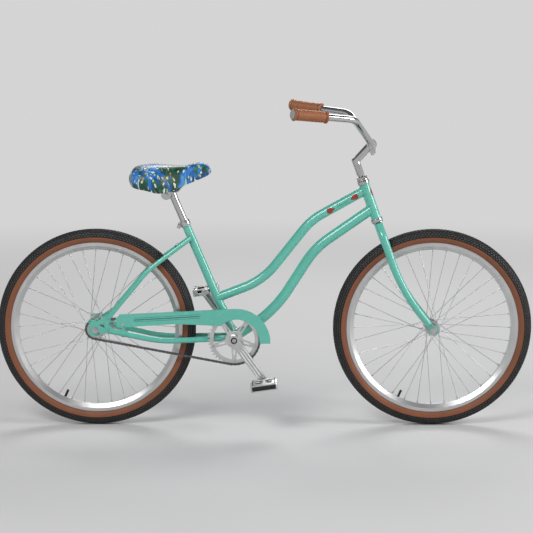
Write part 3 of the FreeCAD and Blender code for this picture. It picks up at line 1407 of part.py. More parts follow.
# Stem: quill in the steerer, a bent neck and a clamp for the handlebar.
neck_start = head_top + 33
corner = steer_line(s.stem_rise)
clamp = corner + Vector(float(s.stem_reach), 0, float(s.stem_climb))
neck_tube = swept("stem_neck", [steer_line(neck_start), corner, clamp], None, s.stem_diameter / 2, None, True)
quill_foot = neck_start - s.quill_depth
quill = cylinder("stem_quill", s.quill_diameter / 2, s.quill_depth + 2, steer_line(quill_foot), steer_up)
bar_grip = s.bar_sleeve_diameter / 2 + s.fit_gap
clamp_half = s.stem_clamp_width / 2
clamp_ring = across("stem_clamp_ring", bar_grip + 4, -clamp_half, clamp_half, clamp)
ear = block("stem_ear", 18, 26, 22, Placement(clamp + Vector(4, 0, -20), Rotation()))
ear_hole = cylinder("stem_ear_hole", 3 + s.fit_gap, 16, clamp + Vector(4, 0, -32), UP)
draw_bolt = cylinder("stem_bolt_bore", 4 + s.fit_gap, 400, steer_line(quill_foot - 10), steer_up)
draw_head = cylinder("stem_bolt_recess", 6.5, 60, steer_line(s.stem_rise + 6), steer_up)
clamp_slit = block("stem_clamp_slit", 20, s.stem_clamp_width, 1.6,
                   Placement(clamp + spun(-40).multVec(Vector(19, 0, 0)), spun(-40)))
piece(cut("stem_cut", fuse("stem_solid", neck_tube, quill, clamp_ring, ear),
          across("stem_clamp_bore", bar_grip, -clamp_half, clamp_half, clamp),
          ear_hole, draw_bolt, draw_head, clamp_slit), "stem")

wedge = cylinder("stem_wedge", s.quill_diameter / 2 - 0.1, 20, steer_line(quill_foot - 20.1), steer_up)
rod = cylinder("stem_rod", 4, s.stem_rise + 8 - quill_foot + 10, steer_line(quill_foot - 10), steer_up)
wedge_cut = cut("stem_wedge_bored", wedge, cylinder("stem_wedge_bore", 4 + s.fit_gap, 12,
                                                    steer_line(quill_foot - 12), steer_up))
rod_head = cylinder("stem_rod_head", 6, 6, steer_line(s.stem_rise + 6.05), steer_up)
clamp_bolt = fuse("stem_clamp_bolt", cylinder("stem_clamp_shank", 3, 13, clamp + Vector(4, 0, -31.5), UP),
                  cylinder("stem_clamp_head", 5, 6, clamp + Vector(4, 0, -37.1), UP))
piece(group("stem_bolt_set", wedge_cut, fuse("stem_draw_bolt", rod, rod_head), clamp_bolt), "stem_bolts")

# Handlebar: a swept bar with a thicker middle, two grips and two end plugs.
grip_radius = s.grip_diameter / 2
half_bar = []
for side in (-1, 1):
    half_bar.append([clamp + Vector(0, 50 * side, 0), clamp + Vector(-65, 205 * side, float(s.bar_rise)),
                     clamp + Vector(-float(s.bar_pullback), float(s.bar_half_width) * side,
                                    float(s.bar_rise) + 22)])
bar_points = half_bar[0][::-1] + half_bar[1]
bar_bends = [60, 45, 45, 60]
bar_outside = swept("bar_outside", bar_points, bar_bends, s.bar_diameter / 2, None)
bar_bore = swept("bar_bore", bar_points, bar_bends, s.bar_diameter / 2 - s.tube_wall, None)
sleeve_half = s.bar_sleeve_width / 2
bar_sleeve = across("bar_sleeve", s.bar_sleeve_diameter / 2, -sleeve_half, sleeve_half, clamp)
piece(cut("bar", fuse("bar_solid", bar_outside, bar_sleeve), bar_bore), "handlebar")

plugs = []
grips = []
for number, (side, word) in enumerate(((-1, "right"), (1, "left"))):
    tip = half_bar[number][2]
    way = (half_bar[number][1] - tip).normalize()
    long = cylinder("grip_body_" + word, grip_radius, s.grip_length, tip, way)
    rings = [cylinder("grip_ring_" + word, grip_radius + 2, 6, tip + way * start, way)
             for start in (0, float(s.grip_length) - 6)]
    hole = cylinder("grip_hole_" + word, s.bar_diameter / 2 + s.fit_gap, s.grip_length, tip, way)
    grips.append(cut("grip_cut_" + word, fuse("grip_solid_" + word, long, *rings), hole))
    cap = cylinder("plug_cap_" + word, 15, 4, tip, way * -1)
    stalk = cylinder("plug_stalk_" + word, s.bar_diameter / 2 - s.tube_wall - 0.1, 16, tip - way, way)
    plugs.append(fuse("plug_" + word, cap, stalk))
piece(group("grip_pair", *grips), "grips")
piece(group("plug_pair", *plugs), "grip_end_plugs")

doc.recompute()

faults = [obj.Name for obj in doc.Objects if "Invalid" in obj.State or "Error" in obj.State]
faults += [obj.Label for obj in pieces if obj.Shape.isNull() or not obj.Shape.isValid()]
if faults:
    raise RuntimeError("these objects did not build: " + ", ".join(faults))
os.makedirs("parts", exist_ok=True)
for obj in pieces:
    obj.Shape.exportStep("parts/%s.step" % obj.Label)
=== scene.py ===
import json
import math

import bmesh
import bpy
import numpy as np
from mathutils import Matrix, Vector


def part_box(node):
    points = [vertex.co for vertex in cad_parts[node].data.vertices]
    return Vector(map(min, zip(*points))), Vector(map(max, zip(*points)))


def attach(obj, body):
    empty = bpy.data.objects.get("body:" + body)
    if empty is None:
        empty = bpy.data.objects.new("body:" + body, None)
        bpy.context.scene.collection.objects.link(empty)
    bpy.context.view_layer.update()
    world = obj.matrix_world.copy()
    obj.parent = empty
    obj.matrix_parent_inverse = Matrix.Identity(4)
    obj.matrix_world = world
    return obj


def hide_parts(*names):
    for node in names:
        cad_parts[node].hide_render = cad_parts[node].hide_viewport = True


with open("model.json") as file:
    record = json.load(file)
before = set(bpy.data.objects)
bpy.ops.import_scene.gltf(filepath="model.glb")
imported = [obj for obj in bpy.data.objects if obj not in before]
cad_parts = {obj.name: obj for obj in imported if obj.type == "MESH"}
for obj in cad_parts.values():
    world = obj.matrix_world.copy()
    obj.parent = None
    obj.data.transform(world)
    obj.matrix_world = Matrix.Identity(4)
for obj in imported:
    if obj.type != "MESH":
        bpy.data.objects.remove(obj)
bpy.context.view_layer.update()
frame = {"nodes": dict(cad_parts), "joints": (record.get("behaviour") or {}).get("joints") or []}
joints = {joint["name"]: joint for joint in frame["joints"]}


# Frame. Steel tubes are mitred, welded and sprayed with one colour of gloss enamel.
# The enamel is smooth, with a faint ripple, and a clear top coat gives its shine.
def new_finish(name):
    """A material with its node tree and its shader."""
    made = bpy.data.materials.new(name)
    made.use_nodes = True
    return made, made.node_tree, made.node_tree.nodes["Principled BSDF"]


def add(tree, kind, inputs=None, **settings):
    """One node with its settings, its constant inputs and its linked inputs."""
    made = tree.nodes.new(kind)
    for name, value in settings.items():
        setattr(made, name, value)
    for name, value in (inputs or {}).items():
        if isinstance(value, bpy.types.NodeSocket):
            tree.links.new(value, made.inputs[name])
        else:
            made.inputs[name].default_value = value
    return made


def new_effect(name, inputs, outputs):
    """A shader node group with named inputs and outputs."""
    tree = bpy.data.node_groups.new(name, "ShaderNodeTree")
    for label, kind, default in inputs:
        tree.interface.new_socket(label, in_out="INPUT", socket_type=kind).default_value = default
    for label, kind in outputs:
        tree.interface.new_socket(label, in_out="OUTPUT", socket_type=kind)
    return tree, tree.nodes.new("NodeGroupInput"), tree.nodes.new("NodeGroupOutput")


def place(tree, effect, **inputs):
    """An effect placed in a material, with its own values."""
    made = tree.nodes.new("ShaderNodeGroup")
    made.node_tree = effect
    for name, value in inputs.items():
        made.inputs[name].default_value = value
    return made


FLOAT, VECTOR = "NodeSocketFloat", "NodeSocketVector"

# Cloudy: a soft patchy mask between two values, for smears, tarnish and uneven gloss.
cloudy, given, result = new_effect(
    "cloudy", [("Scale", FLOAT, 20.0), ("Low", FLOAT, 0.0), ("High", FLOAT, 1.0)], [("Value", FLOAT)])
spot = add(cloudy, "ShaderNodeTexCoord")
patches = add(cloudy, "ShaderNodeTexNoise", {"Vector": spot.outputs["Object"],
                                             "Scale": given.outputs["Scale"],
                                             "Detail": 5.0, "Roughness": 0.6})
spread = add(cloudy, "ShaderNodeMapRange", {"Value": patches.outputs["Fac"], "From Min": 0.3, "From Max": 0.7,
                                            "To Min": given.outputs["Low"], "To Max": given.outputs["High"]})
cloudy.links.new(spread.outputs["Result"], result.inputs["Value"])

# Ripple: the fine unevenness of a sprayed, cast or moulded skin, as a normal.
ripple, given, result = new_effect("ripple", [("Scale", FLOAT, 400.0), ("Depth", FLOAT, 0.0001)],
                                   [("Normal", VECTOR)])
spot = add(ripple, "ShaderNodeTexCoord")
grain = add(ripple, "ShaderNodeTexNoise", {"Vector": spot.outputs["Object"], "Scale": given.outputs["Scale"],
                                           "Detail": 3.0})
swell = add(ripple, "ShaderNodeBump", {"Height": grain.outputs["Fac"], "Distance": given.outputs["Depth"],
                                       "Strength": 1.0})
ripple.links.new(swell.outputs["Normal"], result.inputs["Normal"])

TEAL = (0.122, 0.530, 0.422, 1)
TEAL_DEEP = (0.106, 0.485, 0.384, 1)
enamel, tree, shader = new_finish("teal_enamel")
shade = place(tree, cloudy, Scale=9.0)
tone = add(tree, "ShaderNodeMix", {"Factor": shade.outputs["Value"]}, data_type="RGBA")
tone.inputs["A"].default_value = TEAL
tone.inputs["B"].default_value = TEAL_DEEP
gloss = place(tree, cloudy, Scale=35.0, Low=0.20, High=0.30)
peel = place(tree, ripple, Scale=160.0, Depth=0.000006)
tree.links.new(tone.outputs["Result"], shader.inputs["Base Color"])
tree.links.new(gloss.outputs["Value"], shader.inputs["Roughness"])
tree.links.new(peel.outputs["Normal"], shader.inputs["Normal"])
shader.inputs["Coat Weight"].default_value = 0.7
shader.inputs["Coat Roughness"].default_value = 0.10


SMOOTH_BELOW, EASED_ABOVE = math.radians(28), math.radians(35)
SEAM = 0.00002


def dress(finish, *names, eased=0):
    """Give CAD nodes a finish, smooth their curved faces and ease their edges."""
    for name in names:
        obj = frame["nodes"][name]
        obj.data.materials.clear()
        obj.data.materials.append(finish)
        obj.data.shade_smooth()
        obj.data.set_sharp_from_angle(angle=SMOOTH_BELOW)
        if eased:
            joined = obj.modifiers.new("joined", "WELD")
            joined.merge_threshold = SEAM
            rounding = obj.modifiers.new("eased_edges", "BEVEL")
            rounding.width = eased
            rounding.segments = 2
            rounding.limit_method = "ANGLE"
            rounding.angle_limit = EASED_ABOVE


dress(enamel, "head_tube", "top_tube", "down_tube", "seat_tube", "bottom_bracket_shell", "chain_stays",
      "seat_stays", "rear_dropouts", "chain_guard", "stay_clips", "fork_blades", "fork_ends", "fork_steerer")


# Welds. A bead runs round each joint of the main tubes, and where the chain stays meet the bracket shell,
# under the same enamel.
# Each bead follows the line in which the smaller tube cuts the larger one.
def merged(solids):
    """Points and faces of several closed skins as one."""
    points, faces = [], []
    for more, sides in solids:
        start = len(points)
        points += [Vector(point) for point in more]
        faces += [tuple(start + corner for corner in side) for side in sides]
    return points, faces


def build(name, skin, finish, body, sharp=35):
    """An object from points and faces that rides on a body."""
    points, faces = skin
    mesh = bpy.data.meshes.new(name)
    mesh.from_pydata([tuple(point) for point in points], [], faces)
    shell = bmesh.new()
    shell.from_mesh(mesh)
    bmesh.ops.recalc_face_normals(shell, faces=shell.faces)
    shell.to_mesh(mesh)
    shell.free()
    mesh.materials.append(finish)
    mesh.shade_smooth()
    mesh.set_sharp_from_angle(angle=math.radians(sharp))
    obj = bpy.data.objects.new(name, mesh)
    bpy.context.collection.objects.link(obj)
    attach(obj, body)
    return obj


def skinned(rings, closed=False):
    """A skin over equal rings of points: a tube with two end caps, or a closed loop."""
    count = len(rings[0])
    points = [point for ring in rings for point in ring]
    faces = []
    spans = len(rings) if closed else len(rings) - 1
    for span in range(spans):
        near, far = span * count, (span + 1) % len(rings) * count
        for k in range(count):
            after = (k + 1) % count
            faces.append((near + k, near + after, far + after, far + k))
    if not closed:
        faces.append(tuple(range(count))[::-1])
        faces.append(tuple(range(len(points) - count, len(points))))
    return points, faces


def bead_round(line, radius, sides=8):
    """A round bead along a closed line of points."""
    rings = []
    count = len(line)
    for k, point in enumerate(line):
        way = (line[(k + 1) % count] - line[k - 1]).normalized()
        out = way.orthogonal().normalized() if not rings else (last - last.project(way)).normalized()
        last = out
        side = way.cross(out)
        rings.append([point + (out * math.cos(a) + side * math.sin(a)) * radius
                      for a in (2 * math.pi * n / sides for n in range(sides))])
    return skinned(rings, closed=True)


def cut_line(end, way, radius, onto, axis, size, steps=48, run_in=0.2):
    """The closed line where a tube running along way meets a larger round tube."""
    way, axis = way.normalized(), axis.normalized()
    out = way.orthogonal().normalized()
    side = way.cross(out)
    line = []
    for n in range(steps):
        a = 2 * math.pi * n / steps
        start = end - way * run_in + (out * math.cos(a) + side * math.sin(a)) * radius - onto
        flat, run = start - axis * start.dot(axis), way - axis * way.dot(axis)
        half, most = flat.dot(run), run.dot(run)
        inside = half * half - most * (flat.dot(flat) - size * size)
        reach = (-half - math.sqrt(max(inside, 0))) / most
        line.append(onto + start + way * reach)
    return line


bracket = Vector(joints["crank_spin"]["pos_m"])
rear_axle = Vector(joints["rear_wheel_spin"]["pos_m"])
front_axle = Vector(joints["front_wheel_spin"]["pos_m"])
steer_up = Vector(joints["steer"]["axis"])
seat_up = Vector(joints["seat_height"]["axis"])
across = Vector((0, 1, 0))
TUBE = {"head": 0.017, "top": 0.0159, "down": 0.01745, "seat": 0.0143, "shell": 0.020,
        "chain_stay": 0.0095}
TOP_PRESSED, DOWN_PRESSED = TUBE["top"] * 0.89, TUBE["down"] * 0.97
BEAD, SEAT_BEAD_PROUD = 0.0022, 0.0009
head_middle = Vector(joints["steer"]["pos_m"])
top_at_head = Vector((0.3353, 0, 0.7919))
top_bend = bracket + Vector((0.2546, 0, 0.3929))
top_at_seat = bracket + seat_up * 0.1444
top_low_bend = bracket + Vector((0.095, 0, 0.1914))
down_at_head = Vector((0.3579, 0, 0.7300))
down_bend = bracket + Vector((0.2681, 0, 0.2998))
down_low_bend = bracket + Vector((0.1342, 0, 0.0896))
welds = [
    cut_line(top_at_head, top_at_head - top_bend, TUBE["top"], head_middle, steer_up, TUBE["head"]),
    cut_line(down_at_head, down_at_head - down_bend, DOWN_PRESSED, head_middle, steer_up, TUBE["head"]),
    cut_line(top_at_seat, top_at_seat - top_low_bend, TOP_PRESSED, bracket, seat_up,
             TUBE["seat"] + SEAT_BEAD_PROUD),
    cut_line(bracket, -seat_up, TUBE["seat"], bracket, across, TUBE["shell"]),
    cut_line(bracket, bracket - down_low_bend, TUBE["down"], bracket, across, TUBE["shell"]),
]
for side in (-1, 1):
    stay_front = bracket + Vector((-0.004, 0.023 * side, 0))
    stay_bend = rear_axle + Vector((0.215, 0.049 * side, -0.040))
    welds.append(cut_line(stay_front, stay_front - stay_bend, TUBE["chain_stay"], bracket, across,
                          TUBE["shell"]))
build("frame_weld_beads", merged([bead_round(line, BEAD) for line in welds]), enamel, "frame")


# Painted accents. Thin lines and darts of enamel lie on the tubes and on the chain guard.
# They are plain shapes laid just on the skin of the metal.
PAINT_PROUD, PAINT_DEEP, PAINT_SOFT = 0.00012, 0.0003, 0.00005


def slab(outline, low, high, soft, spot):
    """A solid plate over an outline with softened rims; spot turns local x, y, z into a point."""
    middle = Vector((sum(x for x, _ in outline), sum(y for _, y in outline))) / len(outline)
    rings = []
    for inset, level in ((soft, low), (soft * 0.3, low + soft * 0.3), (0, low + soft),
                         (0, high - soft), (soft * 0.3, high - soft * 0.3), (soft, high)):
        ring = []
        for x, y in outline:
            away = Vector((x, y)) - middle
            ring.append(spot(*(middle + away * (1 - inset / away.length)), level))
        rings.append(ring)
    return skinned(rings)


def tube_patch(start, way, front, radius, rows, columns=9):
    """A painted patch on a tube: rows of distance along it, first and last angle from its front."""
    way, front = way.normalized(), front.normalized()
    side = way.cross(front)
    rings = []
    for along, first, last in rows:
        angles = [first + (last - first) * n / (columns - 1) for n in range(columns)]
        ring = []
        for skin, turns in ((radius + PAINT_PROUD, angles), (radius - PAINT_DEEP, angles[::-1])):
            ring += [start + way * along + (front * math.cos(a) + side * math.sin(a)) * skin
                     for a in turns]
        rings.append(ring)
    return skinned(rings)


def flat_enamel(name, colour):
    """One plain colour of enamel with a little wear in its gloss."""
    finish, tree, shader = new_finish(name)
    wear = place(tree, cloudy, Scale=60.0, Low=0.22, High=0.34)
    tree.links.new(wear.outputs["Value"], shader.inputs["Roughness"])
    shader.inputs["Base Color"].default_value = colour
    shader.inputs["Coat Weight"].default_value = 0.5
    return finish


red_enamel = flat_enamel("red_enamel", (0.30, 0.022, 0.016, 1))
dark_enamel = flat_enamel("dark_teal_enamel", (0.020, 0.165, 0.135, 1))
top_way = (top_at_head - top_bend).normalized()
DARTS = ((0.058, 0.030, 0.010), (0.176, -0.030, 0.010))
DART_STEPS, DART_LIFT, DART_TIP, DART_BELLY = 13, 0.12, 0.004, 0.6
PIN_LINE = [(0.096, 0.06, 0.14), (0.138, 0.06, 0.14)]
darts, lines = [], []
for side in (-1, 1):
    face = across * side
    for root, length, half in DARTS:
        rows = []
        for n in range(DART_STEPS):
            share = n / (DART_STEPS - 1)
            spread = half * math.sin(math.pi * share ** DART_BELLY) / TUBE["top"] + DART_TIP
            rows.append((root + length * share, DART_LIFT - spread, DART_LIFT + spread))
        darts.append(tube_patch(top_bend, top_way, face, TUBE["top"], rows))
    lines.append(tube_patch(top_bend, top_way, face, TUBE["top"], PIN_LINE))
OVAL_STEPS, OVAL_START, OVAL_STEP, OVAL_TIP, OVAL_HALF = 13, 0.012, 0.0025, 0.02, 0.95
bows = [OVAL_TIP + OVAL_HALF * math.sin(math.pi * n / (OVAL_STEPS - 1)) ** 0.6 for n in range(OVAL_STEPS)]
oval_rows = [(OVAL_START + OVAL_STEP * n, -bow, bow) for n, bow in enumerate(bows)]
head_front = Vector((steer_up.z, 0, -steer_up.x))
darts.append(tube_patch(head_middle, steer_up, head_front, TUBE["head"], oval_rows, 25))
build("red_accents", merged(darts), red_enamel, "frame")
guard_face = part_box("chain_guard")[0].y
STRIPE, STRIPE_TIP = ((0.130, 0.033), (0.345, 0.0455)), 0.003
STRIPE_LINES = ((0.0, 0.0016), (0.0060, 0.0006), (-0.0060, 0.0006))
for offset, half in STRIPE_LINES:
    (x0, z0), (x1, z1) = STRIPE
    corners = [(x0, z0 + offset - half), (x1, z1 + offset - half), (x1 + STRIPE_TIP, z1 + offset),
               (x1, z1 + offset + half), (x0, z0 + offset + half), (x0 - STRIPE_TIP, z0 + offset)]
    lines.append(slab(corners, -PAINT_DEEP, PAINT_PROUD, PAINT_SOFT,
                      lambda x, z, y: rear_axle + Vector((x, guard_face - rear_axle.y - y, z))))
build("dark_accents", merged(lines), dark_enamel, "frame")

# Bright parts. Headset, stem, handlebar, seat post and its clamps are chromium plated.
# The plating is a mirror with faint smears, and reflects a little over half the light.
chrome, tree, shader = new_finish("chromium_plate")
smear = place(tree, cloudy, Scale=28.0, Low=0.035, High=0.11)
tint = place(tree, cloudy, Scale=6.0, Low=0.50, High=0.58)
tree.links.new(smear.outputs["Value"], shader.inputs["Roughness"])
tree.links.new(tint.outputs["Value"], shader.inputs["Base Color"])
shader.inputs["Metallic"].default_value = 1.0
dress(chrome, "stem_bolts", "handlebar", "seat_post")
dress(chrome, "headset_cups", "headset_races_and_locknut", "seat_clamp", "stem", "saddle_clamp", eased=0.0006)

# Plain steel. Axles, nuts, clips, spokes and hubs are steel with a thin zinc coat.
# Zinc is greyer than chromium, and its gloss varies in soft patches.
zinc, tree, shader = new_finish("zinc_plated_steel")
dull = place(tree, cloudy, Scale=60.0, Low=0.24, High=0.42)
tint = place(tree, cloudy, Scale=15.0, Low=0.50, High=0.62)
tree.links.new(dull.outputs["Value"], shader.inputs["Roughness"])
tree.links.new(tint.outputs["Value"], shader.inputs["Base Color"])
shader.inputs["Metallic"].default_value = 1.0
dress(zinc, "bottom_bracket_cups", "frame_bearing_balls", "clip_screws", "coaster_brake_arm",
      "rear_axle", "rear_axle_nuts", "front_axle", "front_axle_nuts", "front_spokes", "rear_spokes",
      "front_hub_shell", "rear_hub_shell", "front_hub_balls", "rear_hub_balls", "rear_sprocket",
      "crank_spindle", "crankset_bolts", "pedal_axles", "saddle_rails")

# Chain. Pairs of blued steel plates are riveted over rollers, dark with oil.
# It runs as one closed loop round the chainring and the rear sprocket.
chain_steel, tree, shader = new_finish("oiled_chain_steel")
oil = place(tree, cloudy, Scale=90.0, Low=0.25, High=0.5)
tint = place(tree, cloudy, Scale=120.0, Low=0.09, High=0.20)
tree.links.new(oil.outputs["Value"], shader.inputs["Roughness"])
tree.links.new(tint.outputs["Value"], shader.inputs["Base Color"])
shader.inputs["Metallic"].default_value = 1.0
dress(chain_steel, "chain")

# Alloy. Rims, cranks, chainring and pedal frames are aluminium with a satin face.
# Fine lines from the lathe run round the wheel axle.
lathe, given, result = new_effect("lathe_lines", [("Centre", VECTOR, (0, 0, 0)), ("Scale", FLOAT, 900.0)],
                                  [("Value", FLOAT)])
spot = add(lathe, "ShaderNodeTexCoord")
offset = add(lathe, "ShaderNodeVectorMath", {0: spot.outputs["Object"], 1: given.outputs["Centre"]},
             operation="SUBTRACT")
flat = add(lathe, "ShaderNodeVectorMath", {0: offset.outputs["Vector"], 1: (1, 0, 1)}, operation="MULTIPLY")
radius = add(lathe, "ShaderNodeVectorMath", {0: flat.outputs["Vector"]}, operation="LENGTH")
lines = add(lathe, "ShaderNodeTexNoise", {"W": radius.outputs["Value"], "Scale": given.outputs["Scale"],
                                          "Detail": 2.0}, noise_dimensions="1D")
lathe.links.new(lines.outputs["Fac"], result.inputs["Value"])


def satin_alloy(name, centre):
    """Satin aluminium with turning lines round a centre."""
    finish, tree, shader = new_finish(name)
    turning = place(tree, lathe, Centre=centre)
    rough = add(tree, "ShaderNodeMapRange", {"Value": turning.outputs["Value"], "To Min": 0.26,
                                             "To Max": 0.46})
    tint = place(tree, cloudy, Scale=12.0, Low=0.60, High=0.70)
    tree.links.new(rough.outputs["Result"], shader.inputs["Roughness"])
    tree.links.new(tint.outputs["Value"], shader.inputs["Base Color"])
    shader.inputs["Metallic"].default_value = 1.0
    return finish


dress(satin_alloy("front_rim_alloy", front_axle), "front_rim")
dress(satin_alloy("rear_rim_alloy", rear_axle), "rear_rim")
crank_alloy = satin_alloy("crank_alloy", bracket)
dress(crank_alloy, "chainring", eased=0.0003)
dress(crank_alloy, "crank_right", "crank_left", eased=0.0012)


# Crank bolts. A black ring fills the bore round the bright head of each crank bolt, as painted shade of the
# hole.
# The zinc plated bolt draws the crank onto its spindle.
def turned(profile, base, axis, sides=48):
    """A skin of revolution through pairs of distance along the axis and radius."""
    axis = axis.normalized()
    out = axis.orthogonal().normalized()
    side = axis.cross(out)
    angles = [2 * math.pi * n / sides for n in range(sides)]
    return skinned([[base + axis * along + (out * math.cos(a) + side * math.sin(a)) * radius for a in angles]
                    for along, radius in profile])


black_plastic, tree, shader = new_finish("black_plastic")
tint = place(tree, cloudy, Scale=80.0, Low=0.012, High=0.022)
tree.links.new(tint.outputs["Value"], shader.inputs["Base Color"])
shader.inputs["Roughness"].default_value = 0.45
BORE_SHADE_PROFILE = [(0.067, 0.0108), (0.0726, 0.0108), (0.0734, 0.0100), (0.0734, 0.0074), (0.0720, 0.0070)]
BOLT_PROFILE = [(0.067, 0.0066), (0.0738, 0.0066), (0.0746, 0.0058), (0.0746, 0.0030), (0.0730, 0.0026)]
# The black rings are painted shade: they fill the open bore round each bolt head.
rings = [turned(BORE_SHADE_PROFILE, bracket, across * side) for side in (-1, 1)]
build("crank_bore_shade_rings", merged(rings), black_plastic, "crankset")
heads = [turned(BOLT_PROFILE, bracket, across * side) for side in (-1, 1)]
build("crank_bolt_heads", merged(heads), zinc, "crankset")

# Crank ribs. Three rounded ribs are forged along the outer face of each crank arm.
# They are one with the arm and stand on either side of its two shallow grooves.
ARM_RIB_START, ARM_RIB_SIDE, ARM_RIB_HALF = 0.034, 0.0092, 0.0028
ARM_RIB_RISE, ARM_RIB_ROOT = 0.0013, 0.0003
ARM_RIB_SWELL = ((0.0, 0.15), (0.004, 0.75), (0.010, 1.0), (0.108, 1.0), (0.114, 0.75), (0.118, 0.15))
crank_face = -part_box("crank_right")[0].y
arm_ribs = []
for word, side in (("right", -1), ("left", 1)):
    arm = Vector(joints["pedal_" + word + "_spin"]["pos_m"]) - bracket
    arm = Vector((arm.x, 0, arm.z)).normalized()
    over = Vector((-arm.z, 0, arm.x))
    for offset in (-ARM_RIB_SIDE, 0, ARM_RIB_SIDE):
        rings = []
        for along, share in ARM_RIB_SWELL:
            middle = bracket + arm * (ARM_RIB_START + along) + over * offset + across * side * crank_face
            rings.append([middle + over * ARM_RIB_HALF * share * math.cos(a)
                          + across * side * (ARM_RIB_RISE * share * math.sin(a) - ARM_RIB_ROOT)
                          for a in np.linspace(0, math.pi, 9)])
        arm_ribs.append(skinned(rings))
build("crank_ribs", merged(arm_ribs), crank_alloy, "crankset")

# Tyres. A brown rubber side wall carries a black tread of small moulded blocks.
# The wall is moulded with fine rings round the axle and grips the rim with its bead.
WALL, WALL_DEEP = (0.245, 0.083, 0.036, 1), (0.205, 0.068, 0.029, 1)


def wall_rubber(name, centre):
    """Brown side wall rubber with moulded rings round a centre."""
    finish, tree, shader = new_finish(name)
    shade = place(tree, cloudy, Scale=14.0)
    tone = add(tree, "ShaderNodeMix", {"Factor": shade.outputs["Value"]}, data_type="RGBA")
    tone.inputs["A"].default_value = WALL
    tone.inputs["B"].default_value = WALL_DEEP
    rough = place(tree, cloudy, Scale=50.0, Low=0.5, High=0.65)
    moulding = place(tree, lathe, Centre=centre, Scale=420.0)
    rings = add(tree, "ShaderNodeBump", {"Height": moulding.outputs["Value"], "Distance": 0.0006,
                                         "Strength": 0.5})
    tree.links.new(tone.outputs["Result"], shader.inputs["Base Color"])
    tree.links.new(rough.outputs["Value"], shader.inputs["Roughness"])
    tree.links.new(rings.outputs["Normal"], shader.inputs["Normal"])
    return finish


dress(wall_rubber("front_wall_rubber", front_axle), "front_tyre_casing")
dress(wall_rubber("rear_wall_rubber", rear_axle), "rear_tyre_casing")

black_rubber, tree, shader = new_finish("black_tread_rubber")
rubber_tone = place(tree, cloudy, Scale=40.0, Low=0.010, High=0.022)
rough = place(tree, cloudy, Scale=70.0, Low=0.6, High=0.8)
pores = place(tree, ripple, Scale=1200.0, Depth=0.0002)
tree.links.new(rubber_tone.outputs["Value"], shader.inputs["Base Color"])
tree.links.new(rough.outputs["Value"], shader.inputs["Roughness"])
tree.links.new(pores.outputs["Normal"], shader.inputs["Normal"])
dress(black_rubber, "front_inner_tube", "rear_inner_tube", "front_tyre_tread", "rear_tyre_tread")

# The tops of the blocks take a lighter grey rubber than the ground and the lower sides between them.
block_top_rubber, tree, shader = new_finish("lighter_block_top_rubber")
rubber_tone = place(tree, cloudy, Scale=60.0, Low=0.032, High=0.060)
rough = place(tree, cloudy, Scale=90.0, Low=0.5, High=0.7)
tree.links.new(rubber_tone.outputs["Value"], shader.inputs["Base Color"])
tree.links.new(rough.outputs["Value"], shader.inputs["Roughness"])

TREAD_DEPTH = 0.0024
BLOCK_ROWS = 11
BLOCKS_ROUND = 180
ROW_STEP = math.radians(15.5)
BLOCK_HALF, BLOCK_TAPER, BLOCK_SLANT = 0.36, 0.8, 0.35
GROUND_LEAN, GROUND_COLUMNS, GROUND_RINGS, GROUND_THICK = 89, 25, 240, 0.0004
BLOCK_ROOT, BLOCK_CLEAR = 0.0003, 0.0001
tread_low, tread_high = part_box("front_tyre_tread")
tread_radius = (tread_high.y - tread_low.y) / 2
section_radius = (tread_high.z - tread_low.z) / 2 - tread_radius


def on_tyre(centre, turn, lean, radius):
    """A point on the tyre: turn goes round the axle, lean goes across the tread."""
    reach = section_radius + radius * math.cos(lean)
    return centre + Vector((reach * math.cos(turn), radius * math.sin(lean), reach * math.sin(turn)))


def tread_skin(centre):
    """The tread's ground with rows of tapered blocks that lean one way and then the other."""
    ground = tread_radius - TREAD_DEPTH
    leans = [math.radians(a) for a in np.linspace(-GROUND_LEAN, GROUND_LEAN, GROUND_COLUMNS)]
    rings = []
    for n in range(GROUND_RINGS):
        turn = 2 * math.pi * n / GROUND_RINGS
        outer = [on_tyre(centre, turn, lean, ground) for lean in leans]
        inner = [on_tyre(centre, turn, lean, ground - GROUND_THICK) for lean in reversed(leans)]
        rings.append(outer + inner)
    solids = [skinned(rings, closed=True)]
    pitch = 2 * math.pi / BLOCKS_ROUND
    for row in range(BLOCK_ROWS):
        lean = (row - (BLOCK_ROWS - 1) / 2) * ROW_STEP
        slant = BLOCK_SLANT if row % 2 else -BLOCK_SLANT
        for n in range(BLOCKS_ROUND):
            turn = (n + 0.5 * (row % 2)) * pitch
            rings = []
            for share, height in ((1.0, ground - BLOCK_ROOT), (BLOCK_TAPER, tread_radius - BLOCK_CLEAR)):
                ring = []
                for u, v in ((-1, -1), (1, -1), (1, 1), (-1, 1)):
                    du = BLOCK_HALF * pitch * share * (u + slant * v)
                    dv = BLOCK_HALF * ROW_STEP * share * v
                    ring.append(on_tyre(centre, turn + du, lean + dv, height))
                rings.append(ring)
            solids.append(skinned(rings))
    return merged(solids)


for word, centre, body in (("front", front_axle, "front_wheel"), ("rear", rear_axle, "rear_wheel")):
    tread = build(word + "_block_tread", tread_skin(centre), black_rubber, body, sharp=30)
    # Faces in the upper half of the tread's depth take the lighter block top rubber.
    tread.data.materials.append(block_top_rubber)
    for side in tread.data.polygons:
        spots = [tread.data.vertices[n].co - centre for n in side.vertices]
        heights = [math.hypot(math.hypot(spot.x, spot.z) - section_radius, spot.y) for spot in spots]
        side.material_index = int(min(heights) > tread_radius - TREAD_DEPTH / 2)
    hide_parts(word + "_tyre_tread")


